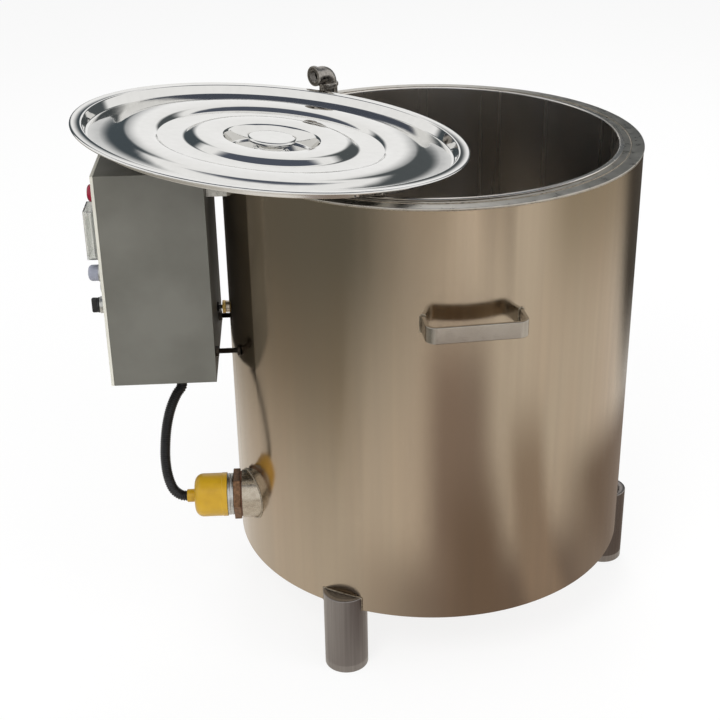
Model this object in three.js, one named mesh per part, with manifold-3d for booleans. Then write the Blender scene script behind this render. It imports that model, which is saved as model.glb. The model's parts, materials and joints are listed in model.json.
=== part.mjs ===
// Heated double-walled wax melting tank for candle making, with its control box, heater and loose lid.
// Millimetres, +Z up. The model is built round the tank's axis, and the last lines centre it on its base.
import * as THREE from 'three';
import { mergeVertices } from 'three/addons/utils/BufferGeometryUtils.js';
import Module from 'manifold-3d';

const wasm = await Module();
wasm.setup();

// Fits shared by all pieces
const gap = 0.3;               // clearance between pieces that touch
const overrun = 20;            // how far a cutting shape runs past what it cuts
const mergeDistance = 0.0001;

// Facets
const roundSides = 56;
const tubeSides = 24;
const smallSides = 14;
const hexSides = 6;
const cornerSteps = 3;

// Tank
const shellRadius = 300;
const shellWall = 2;
const legHeight = 105;         // floor to the underside of the tank
const rimHeight = 721;         // floor to the top face of the rim
const rimThickness = 3;
const rimOverhang = 1;
const rimEdgeRound = 1.2;
const floorThickness = 3;
const jacketWidth = 34;        // outside of the shell to the inside of the pot
const potRadius = shellRadius - jacketWidth;
const potWall = 2;
const potCorner = 40;
const potDish = 10;
const lipWidth = 7;
const lipThickness = 2.2;
const lipRound = 0.8;
const ridgeSetback = 8;        // pot's lip to the weld ridge round the rim
const ridgeRadius = potRadius + lipWidth + ridgeSetback;
const ridgeWidth = 3;
const ridgeHeight = 1;

// Legs
const legRadius = 31.75;
const legWall = 3;
const legInset = 10;           // tank's outside to the leg's axis
const legCircle = shellRadius - legInset;
const legRise = 22;            // how far the leg climbs past the tank's bottom edge
const legSole = 4;
const legNames = ['leg_front', 'leg_right', 'leg_rear'];
const firstLegAngle = -30;
const legStepAngle = 120;

// Handles, bent flat bar
const handleWidth = 134;
const handleBar = 23;
const handleThickness = 5;
const handleReach = 36;
const handleBend = 14;
const handleDrop = 155;        // rim to the middle of the handle
const handleHeight = rimHeight - handleDrop;
const handleAngle = 5;
const halfTurnAngle = 180;

// Heater port, level with the X axis
const heaterSide = -110;
const heaterRise = 105;        // above the underside of the tank
const heaterHeight = legHeight + heaterRise;
const socketRadius = 36;
const socketBore = 29.8;
const socketProud = 1;
const socketInside = 8;
const gasketThickness = 1.5;
const gasketRadius = 34;
const plugAcrossFlats = 66;
const plugHexThickness = 10.5;
const plugBarrel = 29.4;
const plugBore = 20;
const plugBoreEnd = 2.5;
const collarRadius = 31.5;
const collarBore = 24;
const collarLength = 9;
const capRadius = 32.5;
const capWall = 3.2;
const capLength = 49;
const capCorner = 9;
const neckRadius = 9.8;
const neckLength = 12;
const neckPassage = 6;
const elementDisc = 8;
const elementReach = 315;
const elementTube = 4.5;
const elementCircle = 12;
const elementHalfGap = 7.5;
const elementRoom = 56;        // heater's axis to the pot's bottom
const hairpinCount = 3;
const hairpinSides = 8;
const hairpinSteps = 14;
const bendPoints = 4;

// Filler elbow on the rim
const fillAngle = -151.7;
const fillInset = 12;          // tank's outside to the filler's axis
const fillCircle = shellRadius - fillInset;
const couplingRadius = 14.5;
const couplingHeight = 14;
const pipeBore = 9.5;
const elbowBody = 13.4;
const elbowBead = 16;
const beadLength = 6;
const elbowRise = 34;          // rim to the centre of the mouth
const elbowRun = 30;           // upright axis to the face of the mouth
const elbowTurn = -142;        // heading of the mouth round the upright axis

// Temperature probe
const probeSide = 10;
const probeRise = 66;          // above the bottom of the box
const bossRadius = 9;
const bossBore = 6.3;
const bossProud = 6;
const bossInside = 3;
const probeHexRadius = 9.8;
const probeHexLength = 5;
const probeStem = 6;
const sensorRadius = 3;
const sensorReach = 22;
const probeCableRadius = 3;
const grommetRadius = 7.5;
const grommetNeck = 5;
const grommetFlange = 2;
const probeCableEnd = 6;       // past the back of the box

// Control box
const boxStandoff = 19;        // tank's outside to the back of the box
const boxBack = shellRadius + boxStandoff;
const boxDepth = 147;
const boxWidth = 222;
const boxHeight = 315;
const boxTopDrop = 6;          // rim to the top of the box
const boxTop = rimHeight - boxTopDrop;
const boxBottom = boxTop - boxHeight;
const probeHeight = boxBottom + probeRise;
const boxWall = 2;
const boxReturn = 8;
const doorFold = 4.2;
const doorWall = 2;
const sealWidth = 6;
const sealThickness = 1.9;

// Box carriers
const studSpacing = 126;
const studMiddle = -34;        // halfway between the studs
const studRise = 43;           // above the bottom of the box
const studHeight = boxBottom + studRise;
const studRadius = 4;
const studBoss = 8;
const studBossProud = 3;
const studTail = 7.6;
const nutRadius = 7.5;
const nutThickness = 5;
const hangerInset = 35;        // below the top of the box
const hangerHeight = boxTop - hangerInset;
const hangerWidth = 156;
const hangerTall = 20;
const hangerWall = 3;
const hookSpacing = 110;
const hookWidth = 12;
const hookRise = 8;
const hookSlack = 2;

// Door hinges and lock
const hingeInset = 60;         // from the box's bottom and from its top
const knuckleRadius = 4.5;
const knuckleLength = 14;
const hingePin = 2.3;
const hingePinRise = 11;
const leafThickness = 1.5;
const leafWidth = 24;
const leafTall = 26;
const hingeOut = 1.5;          // door edge plane to the hinge axis
const hingeSide = 5.5;         // box side to the hinge axis
const lockSide = -91;
const lockHeight = 150;
const lockRadius = 9;
const lockFlange = 11;
const lockFlangeThickness = 2;
const lockPlug = 5;
const camLength = 17;
const camHalfWidth = 5.5;
const camClearance = 1.8;      // behind the box's return
const camThickness = 2.5;

// Panel devices, placed down from the box's top
const deviceSide = -55;
const lampDrop = 41.5;
const controllerDrop = 97;
const buttonDrop = 161;
const selectorDrop = 211;
const lampHeight = boxHeight - lampDrop;
const controllerHeight = boxHeight - controllerDrop;
const buttonHeight = boxHeight - buttonDrop;
const selectorHeight = boxHeight - selectorDrop;
const deviceHole = 11.3;
const deviceBody = 11;
const collarOuter = 14.5;
const lampBezel = 4.5;
const lampTail = 28;
const lensRadius = 13;
const lensRise = 13.7;
const lensSeat = 2;
const buttonCollar = 9;
const buttonTail = 42;
const buttonWell = 12;
const buttonCapRadius = 11.8;
const buttonRise = 24;
const buttonSkirt = 6;
const buttonDome = 6;
const selectorCollar = 6;
const selectorRing = 12.3;
const selectorRingRadius = 12.2;
const selectorTail = 42;
const knobRadius = 11.4;
const knobBase = 3;
const knobRise = 24.5;
const knobGrip = 8;

// Temperature controller
const bezelWidth = 38;
const bezelTall = 66;
const bezelRise = 9;
const bezelLap = 2;            // casing to the bezel's edge
const casingTail = 58;
const basePlate = 1.5;
const basePlateMargin = 5;     // bezel to the base plate's edge
const keyCount = 3;
const keyPitch = 11;
const keyWidth = 8;
const keyTall = 6;
const keyBelow = 24;
const keyRise = 1.2;
const keyDepth = 2.4;
const keyWell = 3.6;
const hoodSlack = 1;
const hoodRise = 20;
const hoodWall = 2;
const hoodHalfWidth = bezelWidth / 2 + hoodSlack + hoodWall;
const hoodHalfTall = bezelTall / 2 + hoodSlack + hoodWall;
const barrelRadius = 2.3;
const barrelLength = 33;
const barrelHeight = 4.5;
const barrelOut = 2.8;         // hood's side to the hinge pin
const barrelSide = hoodHalfWidth + barrelOut;
const barrelWeb = 1.1;
const barrelPin = 1.2;
const barrelPinEnd = 3;
const lugThickness = 3;
const lugHigh = 6.5;
const lugSlack = 1;            // hood's side to the lugs
const lugWidth = 5;
const lugNear = hoodHalfWidth + lugSlack;
const lugFar = lugNear + lugWidth;

// Inside the box
const plateFrom = 52;
const plateTo = 262;
const plateHalfWidth = 90;
const plateBack = 8;
const plateThickness = 2;
const spacerRadius = 4;
const spacerInset = 12;
const railHeight = 165;
const railHalfLength = 82;
const railWide = 35;
const railCrown = 27;
const railDeep = 7.5;
const railSheet = 1;
const contactorFrom = -76;
const contactorTo = -31;
const contactorTall = 75;
const contactorDeep = 60;
const contactorShoulder = 12;
const breakerFrom = 22;
const breakerTo = 76;
const breakerTall = 85;
const breakerDeep = 56;
const breakerNose = 45;
const breakerNoseDeep = 12;
const toggleRadius = 6.5;
const toggleWidth = 24;
const toggleLever = 15;
const toggleThickness = 5;
const toggleLean = 35;
const toggleSlack = 0.6;
const terminalFrom = 66;
const terminalTo = 104;
const terminalHalfLength = 60;
const terminalDeep = 26;
const terminalGroove = 8;
const terminalGrooveWide = 12;
const terminalCount = 6;

// Cable entries under the box
const entryOut = 55;           // back of the box to the entry's axis
const conduitEntrySide = -52;
const mainsEntrySide = 44;
const entryRadius = 13;
const entryLength = 16;
const entryNeck = 9.7;
const entryNeckLength = 10;
const entryPassage = 6;
const mainsPassage = 5;

// Corrugated conduit from the box to the heater cap
const hoseRadius = 8;
const hoseRoot = 6.7;
const hoseBore = 5.4;
const hoseRibCount = 75;
const hoseSides = 8;
const ribCountPerBoreRing = 5;
const hoseMiddle = [
  [-376, -54, 366], [-383, -58, 357], [-392, -65, 340], [-399.5, -74, 316],
  [-403.5, -85, 290], [-404.5, -96, 262], [-401, -105, 238],
  [-394, -109.5, 221], [-384, -110.3, 212],
];

// Lid, a pressed sheet with raised rings; heights are measured from the plane of its edge
const lidLap = 9.5;            // inside of the pot to the lid's edge
const lidRadius = potRadius + lidLap;
const lidSheet = 1.4;
const lidEdgeDrop = 3.5;
const lidFlangeRise = 1.2;
const flangeWidth = 16.5;
const flangeInner = lidRadius - flangeWidth;
const plugInset = 5.5;         // flange to the foot of the wall that drops into the pot
const plugRadius = flangeInner - plugInset;
const lowFloor = -13.2;
const ringHeight = -7.8;
const recessFloor = -29.2;
const outerRingShares = [0.79, 0.76, 0.592, 0.57];
const innerRingShares = [0.43, 0.405, 0.245, 0.222];
const lidShift = 38;           // inside of the pot to the lid's middle
const lidOffset = potRadius - lidShift;
const lidAngle = -78.5;
const lidClearance = 0.8;
const lidBore = 3.4;
const lidKnobRadius = 34;
const lidKnobTop = -7.4;
const lidKnobWaist = 21;
const lidKnobFoot = 26;
const lidKnobRimHeight = 7;
const lidKnobFootHeight = 3.5;
const screwRadius = 3;
const screwDepth = 12;
const washerRadius = 11;
const washerThickness = 1.5;
const screwHead = 5.5;
const screwHeadThickness = 3.5;

// Materials
function finish(color, roughness, metalness) {
  return new THREE.MeshStandardMaterial({ color, roughness, metalness });
}
const brushedSteel = finish(0x9a8d7c, 0.35, 1);
const polishedSteel = finish(0xd9dbdd, 0.12, 1);
const pipeSteel = finish(0x54504c, 0.4, 1);
const castSteel = finish(0x77756f, 0.45, 1);
const zincSteel = finish(0xb9b7ae, 0.4, 1);
const blackSteel = finish(0x2b2722, 0.5, 1);
const brass = finish(0xb08d4a, 0.35, 1);
const boxPaint = finish(0x75736c, 0.55, 0);
const doorPaint = finish(0xb9b8b0, 0.5, 0);
const blackPlastic = finish(0x1b1b1c, 0.5, 0);
const greyPlastic = finish(0x9a9da3, 0.45, 0);
const yellowPlastic = finish(0xc79a1e, 0.45, 0);
const whitePlastic = finish(0xd8d8d4, 0.5, 0);
const redLens = finish(0xb0122a, 0.2, 0);
const clearPlastic = finish(0xcfd6d8, 0.15, 0);
const blackRubber = finish(0x202020, 0.8, 0);
const fibre = finish(0x8a4a30, 0.8, 0);

// Closed meshes: shared vertices merged, flat faces dropped, all faces turned outward
function closed(source) {
  const bare = new THREE.BufferGeometry();
  bare.setAttribute('position', source.getAttribute('position').clone());
  if (source.index) bare.setIndex(source.index.clone());
  const merged = mergeVertices(bare, mergeDistance);
  const position = merged.getAttribute('position');
  const corner = [0, 1, 2].map(() => new THREE.Vector3());
  const faces = [];
  let volume = 0;
  for (let first = 0; first < merged.index.count; first += 3) {
    const face = [0, 1, 2].map((step) => merged.index.getX(first + step));
    if (new Set(face).size < face.length) continue;
    face.forEach((vertex, step) => corner[step].fromBufferAttribute(position, vertex));
    volume += corner[0].dot(corner[1].clone().cross(corner[2]));
    faces.push(face);
  }
  if (volume < 0) faces.forEach((face) => face.reverse());
  merged.setIndex(faces.flat());
  return merged;
}

function toSolid(geometry) {
  const tidy = closed(geometry);
  return new wasm.Manifold(new wasm.Mesh({
    numProp: 3,
    vertProperties: new Float32Array(tidy.getAttribute('position').array),
    triVerts: new Uint32Array(tidy.index.array),
  }));
}

function toGeometry(solid) {
  const mesh = solid.getMesh();
  const geometry = new THREE.BufferGeometry();
  geometry.setAttribute('position', new THREE.BufferAttribute(mesh.vertProperties, 3));
  geometry.setIndex(new THREE.BufferAttribute(mesh.triVerts, 1));
  return geometry;
}

function cut(base, ...tools) {
  return toGeometry(tools.reduce((rest, tool) => rest.subtract(toSolid(tool)), toSolid(base)));
}

function join(first, ...others) {
  return toGeometry(others.reduce((whole, other) => whole.add(toSolid(other)), toSolid(first)));
}

// Shapes
function turned(profile, sides) {
  const points = profile.map(([radius, height]) => new THREE.Vector2(radius, height));
  return new THREE.LatheGeometry(points, sides).rotateX(Math.PI / 2);
}

function disc(radius, low, high, sides) {
  return turned([[0, low], [radius, low], [radius, high], [0, high]], sides);
}

function ring(inner, outer, low, high, sides) {
  return turned([[inner, low], [outer, low], [outer, high], [inner, high], [inner, low]], sides);
}

function block([left, right], [near, far], [low, high]) {
  const box = new THREE.BoxGeometry(right - left, far - near, high - low);
  return box.translate((left + right) / 2, (near + far) / 2, (low + high) / 2);
}

function slab(outline, low, high) {
  const shape = new THREE.Shape(outline.map(([x, y]) => new THREE.Vector2(x, y)));
  return new THREE.ExtrudeGeometry(shape, { depth: high - low, bevelEnabled: false }).translate(0, 0, low);
}

function middle(half) {
  return [-half, half];
}

// Quarter round from one heading to the next, as profile points
function arc(centreX, centreY, radius, fromDegrees, toDegrees) {
  const points = [];
  for (let step = 0; step <= cornerSteps; step += 1) {
    const angle = THREE.MathUtils.degToRad(fromDegrees + (toDegrees - fromDegrees) * step / cornerSteps);
    points.push([centreX + radius * Math.cos(angle), centreY + radius * Math.sin(angle)]);
  }
  return points;
}

// Scene graph
const machine = new THREE.Group();

function frameAt(parent, x, y, z, turn) {
  const frame = new THREE.Group();
  frame.position.set(x, y, z);
  if (turn) frame.rotation.set(turn.x ?? 0, turn.y ?? 0, turn.z ?? 0);
  parent.add(frame);
  return frame;
}

function add(parent, name, geometry, material) {
  const mesh = new THREE.Mesh(closed(geometry), material);
  mesh.name = name;
  parent.add(mesh);
}

// A shape given in the model's frame, restated in a nested frame
function seenFrom(frame, geometry) {
  frame.updateWorldMatrix(true, false);
  return geometry.applyMatrix4(frame.matrixWorld.clone().invert());
}

// In a frame turned outward, local Z runs along -X, away from the tank, and local X runs up
const outward = { y: -Math.PI / 2 };

function tankRound() {
  return disc(shellRadius + gap, 0, rimHeight, roundSides);
}

function shellReach(side) {
  return Math.sqrt(shellRadius ** 2 - side ** 2);
}

// Tank
const shellTop = rimHeight - rimThickness - gap;
const heater = frameAt(machine, 0, heaterSide, heaterHeight, outward);
const probe = frameAt(machine, 0, probeSide, probeHeight, outward);

function portHole(side, height, radius) {
  return disc(radius, 0, shellRadius + overrun, tubeSides).rotateY(outward.y).translate(0, side, height);
}

function buildTank() {
  const wall = ring(shellRadius - shellWall, shellRadius, legHeight, shellTop, roundSides);
  const holes = [
    portHole(heaterSide, heaterHeight, socketRadius + gap),
    portHole(probeSide, probeHeight, bossRadius + gap),
  ];
  add(machine, 'outer_shell', cut(wall, ...holes), brushedSteel);

  const floorRadius = shellRadius - shellWall - gap;
  const base = disc(floorRadius, legHeight, legHeight + floorThickness, roundSides);
  add(machine, 'jacket_floor', base, brushedSteel);

  const inner = potRadius + potWall + gap;
  const outer = shellRadius + rimOverhang;
  const under = rimHeight - rimThickness;
  const rim = turned([
    [inner, under], [outer, under], [outer, rimHeight - rimEdgeRound], [outer - rimEdgeRound, rimHeight],
    [ridgeRadius + ridgeWidth, rimHeight], [ridgeRadius + ridgeWidth / 2, rimHeight + ridgeHeight],
    [ridgeRadius, rimHeight], [inner, rimHeight], [inner, under],
  ], roundSides);
  const [fillX, fillY] = onCircle(fillCircle, fillAngle);
  const fillHole = disc(pipeBore, under - overrun, rimHeight + overrun, smallSides);
  add(machine, 'rim_ring', cut(rim, fillHole.translate(fillX, fillY, 0)), brushedSteel);
}

// Angles run from the front, -Y, towards +X
function onCircle(radius, degrees) {
  const angle = THREE.MathUtils.degToRad(degrees);
  return [radius * Math.sin(angle), -radius * Math.cos(angle)];
}

function buildPot() {
  const bottom = heaterHeight + elementRoom;
  const cornerHeight = bottom + potDish + potCorner;
  const outer = potRadius + potWall;
  const lipUnder = rimHeight + gap;
  const lipTop = lipUnder + lipThickness;
  const inside = arc(potRadius - potCorner, cornerHeight, potCorner, -90, 0);
  const outside = arc(potRadius - potCorner, cornerHeight, potCorner + potWall, -90, 0);
  const profile = [
    [0, bottom - potWall],
    ...outside,
    [outer, lipUnder],
    [potRadius + lipWidth, lipUnder],
    [potRadius + lipWidth, lipTop - lipRound],
    [potRadius + lipWidth - lipRound, lipTop],
    [potRadius + lipRound, lipTop],
    [potRadius, lipTop - lipRound],
    ...inside.reverse(),
    [0, bottom],
  ];
  add(machine, 'inner_pot', turned(profile, roundSides), brushedSteel);
}

function buildLegs() {
  const top = legHeight + legRise;
  legNames.forEach((name, index) => {
    const degrees = firstLegAngle + index * legStepAngle;
    const [x, y] = onCircle(legCircle, degrees);
    const frame = frameAt(machine, x, y, 0, { z: THREE.MathUtils.degToRad(degrees) });
    const pipe = disc(legRadius, 0, top, tubeSides);
    const hollow = disc(legRadius - legWall, legSole, top - legWall, tubeSides);
    const tank = disc(shellRadius + gap, legHeight - gap, rimHeight, roundSides);
    add(frame, name, cut(pipe, hollow, seenFrom(frame, tank)), pipeSteel);
  });
}

// A U of flat bar seen from above, open towards the tank
function handleOutline(inset) {
  const half = handleWidth / 2 - inset;
  const face = -(shellRadius + handleReach) + inset;
  const bend = handleBend - inset;
  const back = -shellRadius + overrun;
  return [
    [-half, back],
    ...arc(-half + bend, face + bend, bend, 180, 270),
    ...arc(half - bend, face + bend, bend, 270, 360),
    [half, back],
  ];
}

function buildHandles() {
  const names = ['handle_front', 'handle_rear'];
  names.forEach((name, index) => {
    const turn = THREE.MathUtils.degToRad(handleAngle + index * halfTurnAngle);
    const frame = frameAt(machine, 0, 0, handleHeight, { z: turn });
    const half = handleBar / 2;
    const outer = slab(handleOutline(0), -half, half);
    const inner = slab(handleOutline(handleThickness), -half - overrun, half + overrun);
    add(frame, name, cut(outer, inner, seenFrom(frame, tankRound())), castSteel);
  });
}

// Heater port, distances out from the tank's middle plane
const socketFace = shellReach(Math.abs(heaterSide) - socketRadius) + socketProud;
const socketEnd = shellReach(Math.abs(heaterSide) + socketRadius) - shellWall - socketInside;
const gasketFace = socketFace + gap + gasketThickness;
const hexFace = gasketFace + gap + plugHexThickness;
const collarFace = hexFace + gap + collarLength;
const capBack = collarFace + gap;
const capFront = capBack + capLength;
const neckFace = capFront + neckLength;
const hoseSeat = neckFace - 2 * hoseRadius;

function buildHeater() {
  const barrelEnd = socketEnd + socketInside;
  add(heater, 'heater_socket', ring(socketBore, socketRadius, socketEnd, socketFace, tubeSides), castSteel);
  const gasketLow = socketFace + gap;
  add(heater, 'heater_gasket', ring(socketBore, gasketRadius, gasketLow, gasketFace, tubeSides), fibre);

  const hexRadius = plugAcrossFlats / Math.sqrt(3);
  const hex = disc(hexRadius, gasketFace + gap, hexFace, hexSides);
  const barrel = disc(plugBarrel, barrelEnd, hexFace - plugBoreEnd, tubeSides);
  const bore = disc(plugBore, barrelEnd - overrun, hexFace - plugBoreEnd, tubeSides);
  add(heater, 'heater_plug', cut(join(hex, barrel), bore), blackSteel);

  const collar = ring(collarBore, collarRadius, hexFace + gap, collarFace, tubeSides);
  add(heater, 'heater_collar', collar, zincSteel);

  const base = disc(plugBore - gap, barrelEnd, barrelEnd + elementDisc, tubeSides);
  const loops = [];
  for (let index = 0; index < hairpinCount; index += 1) {
    const angle = 2 * Math.PI * index / hairpinCount;
    loops.push(hairpin(angle, barrelEnd + elementDisc / 2, barrelEnd - elementReach));
  }
  add(heater, 'heater_element', join(base, ...loops), castSteel);
  buildHeaterCap();
}

// One U of heating tube, its two legs side by side at an angle round the port's axis
function hairpin(angle, start, end) {
  const points = [new THREE.Vector3(-elementHalfGap, 0, start)];
  for (let step = 0; step <= bendPoints; step += 1) {
    const turn = Math.PI * step / bendPoints;
    const bend = end + elementHalfGap - elementHalfGap * Math.sin(turn);
    points.push(new THREE.Vector3(-elementHalfGap * Math.cos(turn), 0, bend));
  }
  points.push(new THREE.Vector3(elementHalfGap, 0, start));
  const path = new THREE.CatmullRomCurve3(points, false, 'centripetal');
  const section = new THREE.Shape();
  section.absarc(0, 0, elementTube, 0, 2 * Math.PI);
  const tube = new THREE.ExtrudeGeometry(section, {
    steps: hairpinSteps,
    curveSegments: hairpinSides / 2,
    extrudePath: path,
    bevelEnabled: false,
  });
  return tube.translate(0, elementCircle, 0).rotateZ(angle);
}

function buildHeaterCap() {
  const chamber = capRadius - capWall;
  const chamberEnd = hoseSeat - gap - capWall;
  const profile = [
    [chamber, capBack],
    [capRadius, capBack],
    ...arc(capRadius - capCorner, capFront - capCorner, capCorner, 0, 90),
    [neckRadius, capFront],
    [neckRadius, neckFace],
    [hoseRadius + gap, neckFace],
    [hoseRadius + gap, hoseSeat - gap],
    [neckPassage, hoseSeat - gap],
    [neckPassage, chamberEnd],
    [chamber - capCorner, chamberEnd],
    [chamber, chamberEnd - capCorner],
    [chamber, capBack],
  ];
  add(heater, 'heater_cap', turned(profile, tubeSides), yellowPlastic);
}

function buildFiller() {
  const [x, y] = onCircle(fillCircle, fillAngle);
  const frame = frameAt(machine, x, y, rimHeight, { z: THREE.MathUtils.degToRad(elbowTurn) });
  const coupling = ring(pipeBore, couplingRadius, gap, couplingHeight, smallSides);
  const ridgeTop = rimHeight + ridgeHeight + gap;
  const ridgeOuter = ridgeRadius + ridgeWidth + gap;
  const ridge = ring(ridgeRadius - gap, ridgeOuter, rimHeight - overrun, ridgeTop, roundSides);
  add(frame, 'fill_nipple', cut(coupling, seenFrom(frame, ridge)), castSteel);

  const foot = couplingHeight + gap;
  const upright = join(
    disc(elbowBody, foot, elbowRise, smallSides),
    disc(elbowBead, foot, foot + beadLength, smallSides),
    new THREE.SphereGeometry(elbowBody, smallSides, smallSides / 2).translate(0, 0, elbowRise),
  );
  const level = join(
    disc(elbowBody, 0, elbowRun, smallSides),
    disc(elbowBead, elbowRun - beadLength, elbowRun, smallSides),
  );
  const mouth = disc(pipeBore, 0, elbowRun + overrun, smallSides);
  const sideways = (geometry) => geometry.rotateY(Math.PI / 2).translate(0, 0, elbowRise);
  const elbow = cut(
    join(upright, sideways(level)),
    disc(pipeBore, foot - overrun, elbowRise, smallSides),
    sideways(mouth),
    new THREE.SphereGeometry(pipeBore, smallSides, smallSides / 2).translate(0, 0, elbowRise),
  );
  add(frame, 'fill_elbow', elbow, castSteel);
}

function buildProbe() {
  const bossEnd = shellReach(probeSide + bossRadius) - shellWall - bossInside;
  const bossFace = shellReach(probeSide) + bossProud;
  add(probe, 'probe_boss', ring(bossBore, bossRadius, bossEnd, bossFace, smallSides), castSteel);

  const hexLow = bossFace + gap;
  const hexHigh = hexLow + probeHexLength;
  const body = join(
    disc(probeHexRadius, hexLow, hexHigh, hexSides),
    disc(probeStem, bossEnd, hexHigh - probeHexLength / 2, smallSides),
    disc(sensorRadius, bossEnd - sensorReach, bossEnd + bossInside, smallSides),
  );
  add(probe, 'temperature_probe', body, brass);

  const cableEnd = boxBack + probeCableEnd;
  add(probe, 'probe_cable', disc(probeCableRadius, hexHigh + gap, cableEnd, smallSides), blackPlastic);

  const bore = probeCableRadius + gap;
  const outside = boxBack - gap;
  const inside = boxBack + boxWall + gap;
  const profile = [
    [bore, outside - grommetFlange], [grommetRadius, outside - grommetFlange], [grommetRadius, outside],
    [grommetNeck, outside], [grommetNeck, inside], [grommetRadius, inside],
    [grommetRadius, inside + grommetFlange], [bore, inside + grommetFlange], [bore, outside - grommetFlange],
  ];
  add(probe, 'probe_grommet', turned(profile, smallSides), blackRubber);
}

// Two threaded studs low down and a hooked hanger at the top carry the box
function buildCarriers() {
  const sides = { near: studMiddle - studSpacing / 2, far: studMiddle + studSpacing / 2 };
  Object.entries(sides).forEach(([name, side]) => {
    const frame = frameAt(machine, 0, side, studHeight, outward);
    const bossFace = shellReach(side) + studBossProud;
    const boss = disc(studBoss, shellReach(side) - overrun, bossFace, smallSides);
    const rod = disc(studRadius, bossFace - studBossProud, boxBack + studTail, smallSides);
    add(frame, `mount_stud_${name}`, cut(join(boss, rod), seenFrom(frame, tankRound())), blackSteel);
    const outer = boxBack - gap;
    const inner = boxBack + boxWall + gap;
    const bore = studRadius + gap;
    add(frame, `stud_nut_${name}_outer`, nut(bore, outer - nutThickness, outer), blackSteel);
    add(frame, `stud_nut_${name}_inner`, nut(bore, inner, inner + nutThickness), blackSteel);
  });

  const face = -(boxBack - gap);
  const half = hangerWidth / 2;
  const low = hangerHeight - hangerTall / 2;
  const high = hangerHeight + hangerTall / 2;
  const inside = -(shellReach(half) - overrun);
  const pieces = [
    block([face, inside], [-half, -half + hangerWall], [low, high]),
    block([face, inside], [half - hangerWall, half], [low, high]),
  ];
  const hookBack = -(boxBack + boxWall + gap);
  middle(hookSpacing / 2).forEach((side) => {
    const width = [side - hookWidth / 2, side + hookWidth / 2];
    pieces.push(block([hookBack - hangerWall, face], width, [low, low + hangerWall]));
    pieces.push(block([hookBack - hangerWall, hookBack], width, [low, low + hookRise]));
  });
  const plate = block([face, face + hangerWall], middle(half), [low, high]);
  add(machine, 'hanger_bracket', cut(join(plate, ...pieces), tankRound()), zincSteel);
}

function nut(bore, low, high) {
  return cut(disc(nutRadius, low, high, hexSides), disc(bore, low - overrun, high + overrun, smallSides));
}

// Control box: x runs from 0 at its back to -boxDepth at its mouth, z from its bottom
const box = frameAt(machine, -boxBack, 0, boxBottom);
const boxMouth = boxDepth;
const doorBack = boxMouth + gap;
const doorFront = doorBack + doorFold;
const halfWidth = boxWidth / 2;

// A rod that runs straight out of the box's back or door, for holes
function outwardHole(radius, from, to, side, height) {
  return disc(radius, from, to, smallSides).rotateY(outward.y).translate(0, side, height);
}

function bottomHole(radius, side) {
  return disc(radius, -overrun, overrun, smallSides).translate(-entryOut, side, 0);
}

function buildBox() {
  const casing = block([-boxMouth, 0], middle(halfWidth), [0, boxHeight]);
  const inner = halfWidth - boxWall;
  const cavity = block([-boxMouth + boxWall, -boxWall], middle(inner), [boxWall, boxHeight - boxWall]);
  const rim = [boxReturn, boxHeight - boxReturn];
  const mouth = block([-boxMouth - overrun, -boxMouth + overrun], middle(halfWidth - boxReturn), rim);
  const backFrom = -overrun;
  const backTo = overrun;
  const studLocal = studHeight - boxBottom;
  const probeLocal = probeHeight - boxBottom;
  const hookLow = hangerHeight - hangerTall / 2 - boxBottom - gap;
  const hookHigh = hookLow + hookRise + hookSlack;
  const holes = [
    ...middle(studSpacing / 2).map((side) => {
      return outwardHole(studRadius + gap, backFrom, backTo, studMiddle + side, studLocal);
    }),
    outwardHole(grommetNeck + gap, backFrom, backTo, probeSide, probeLocal),
    ...middle(hookSpacing / 2).map((side) => {
      const half = hookWidth / 2 + gap;
      return block([backFrom, backTo], [side - half, side + half], [hookLow, hookHigh]);
    }),
    bottomHole(entryNeck + gap, conduitEntrySide),
    bottomHole(entryNeck + gap, mainsEntrySide),
  ];
  add(box, 'box_body', cut(casing, cavity, mouth, ...holes), boxPaint);
}

function buildDoor() {
  const pan = block([-doorFront, -doorBack], middle(halfWidth), [0, boxHeight]);
  const plateInside = doorFront - doorWall;
  const fold = halfWidth - doorWall;
  const hollow = block([-plateInside, overrun], middle(fold), [doorWall, boxHeight - doorWall]);
  const cutoutWide = bezelWidth / 2 - bezelLap + gap;
  const cutoutTall = bezelTall / 2 - bezelLap + gap;
  const holes = [
    outwardHole(deviceHole, 0, doorFront + overrun, deviceSide, lampHeight),
    outwardHole(deviceHole, 0, doorFront + overrun, deviceSide, buttonHeight),
    outwardHole(deviceHole, 0, doorFront + overrun, deviceSide, selectorHeight),
    outwardHole(lockRadius + gap, 0, doorFront + overrun, lockSide, lockHeight),
    block(
      [-doorFront - overrun, 0],
      [deviceSide - cutoutWide, deviceSide + cutoutWide],
      [controllerHeight - cutoutTall, controllerHeight + cutoutTall],
    ),
  ];
  add(box, 'box_door', cut(pan, hollow, ...holes), doorPaint);

  const edge = fold - gap;
  const sealX = [-doorBack - sealThickness, -doorBack];
  const sealEdge = doorWall + gap;
  const outer = block(sealX, middle(edge), [sealEdge, boxHeight - sealEdge]);
  const hole = block(
    [-doorFront, 0],
    middle(edge - sealWidth),
    [sealEdge + sealWidth, boxHeight - sealEdge - sealWidth],
  );
  add(box, 'door_gasket', cut(outer, hole), blackRubber);
}

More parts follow.
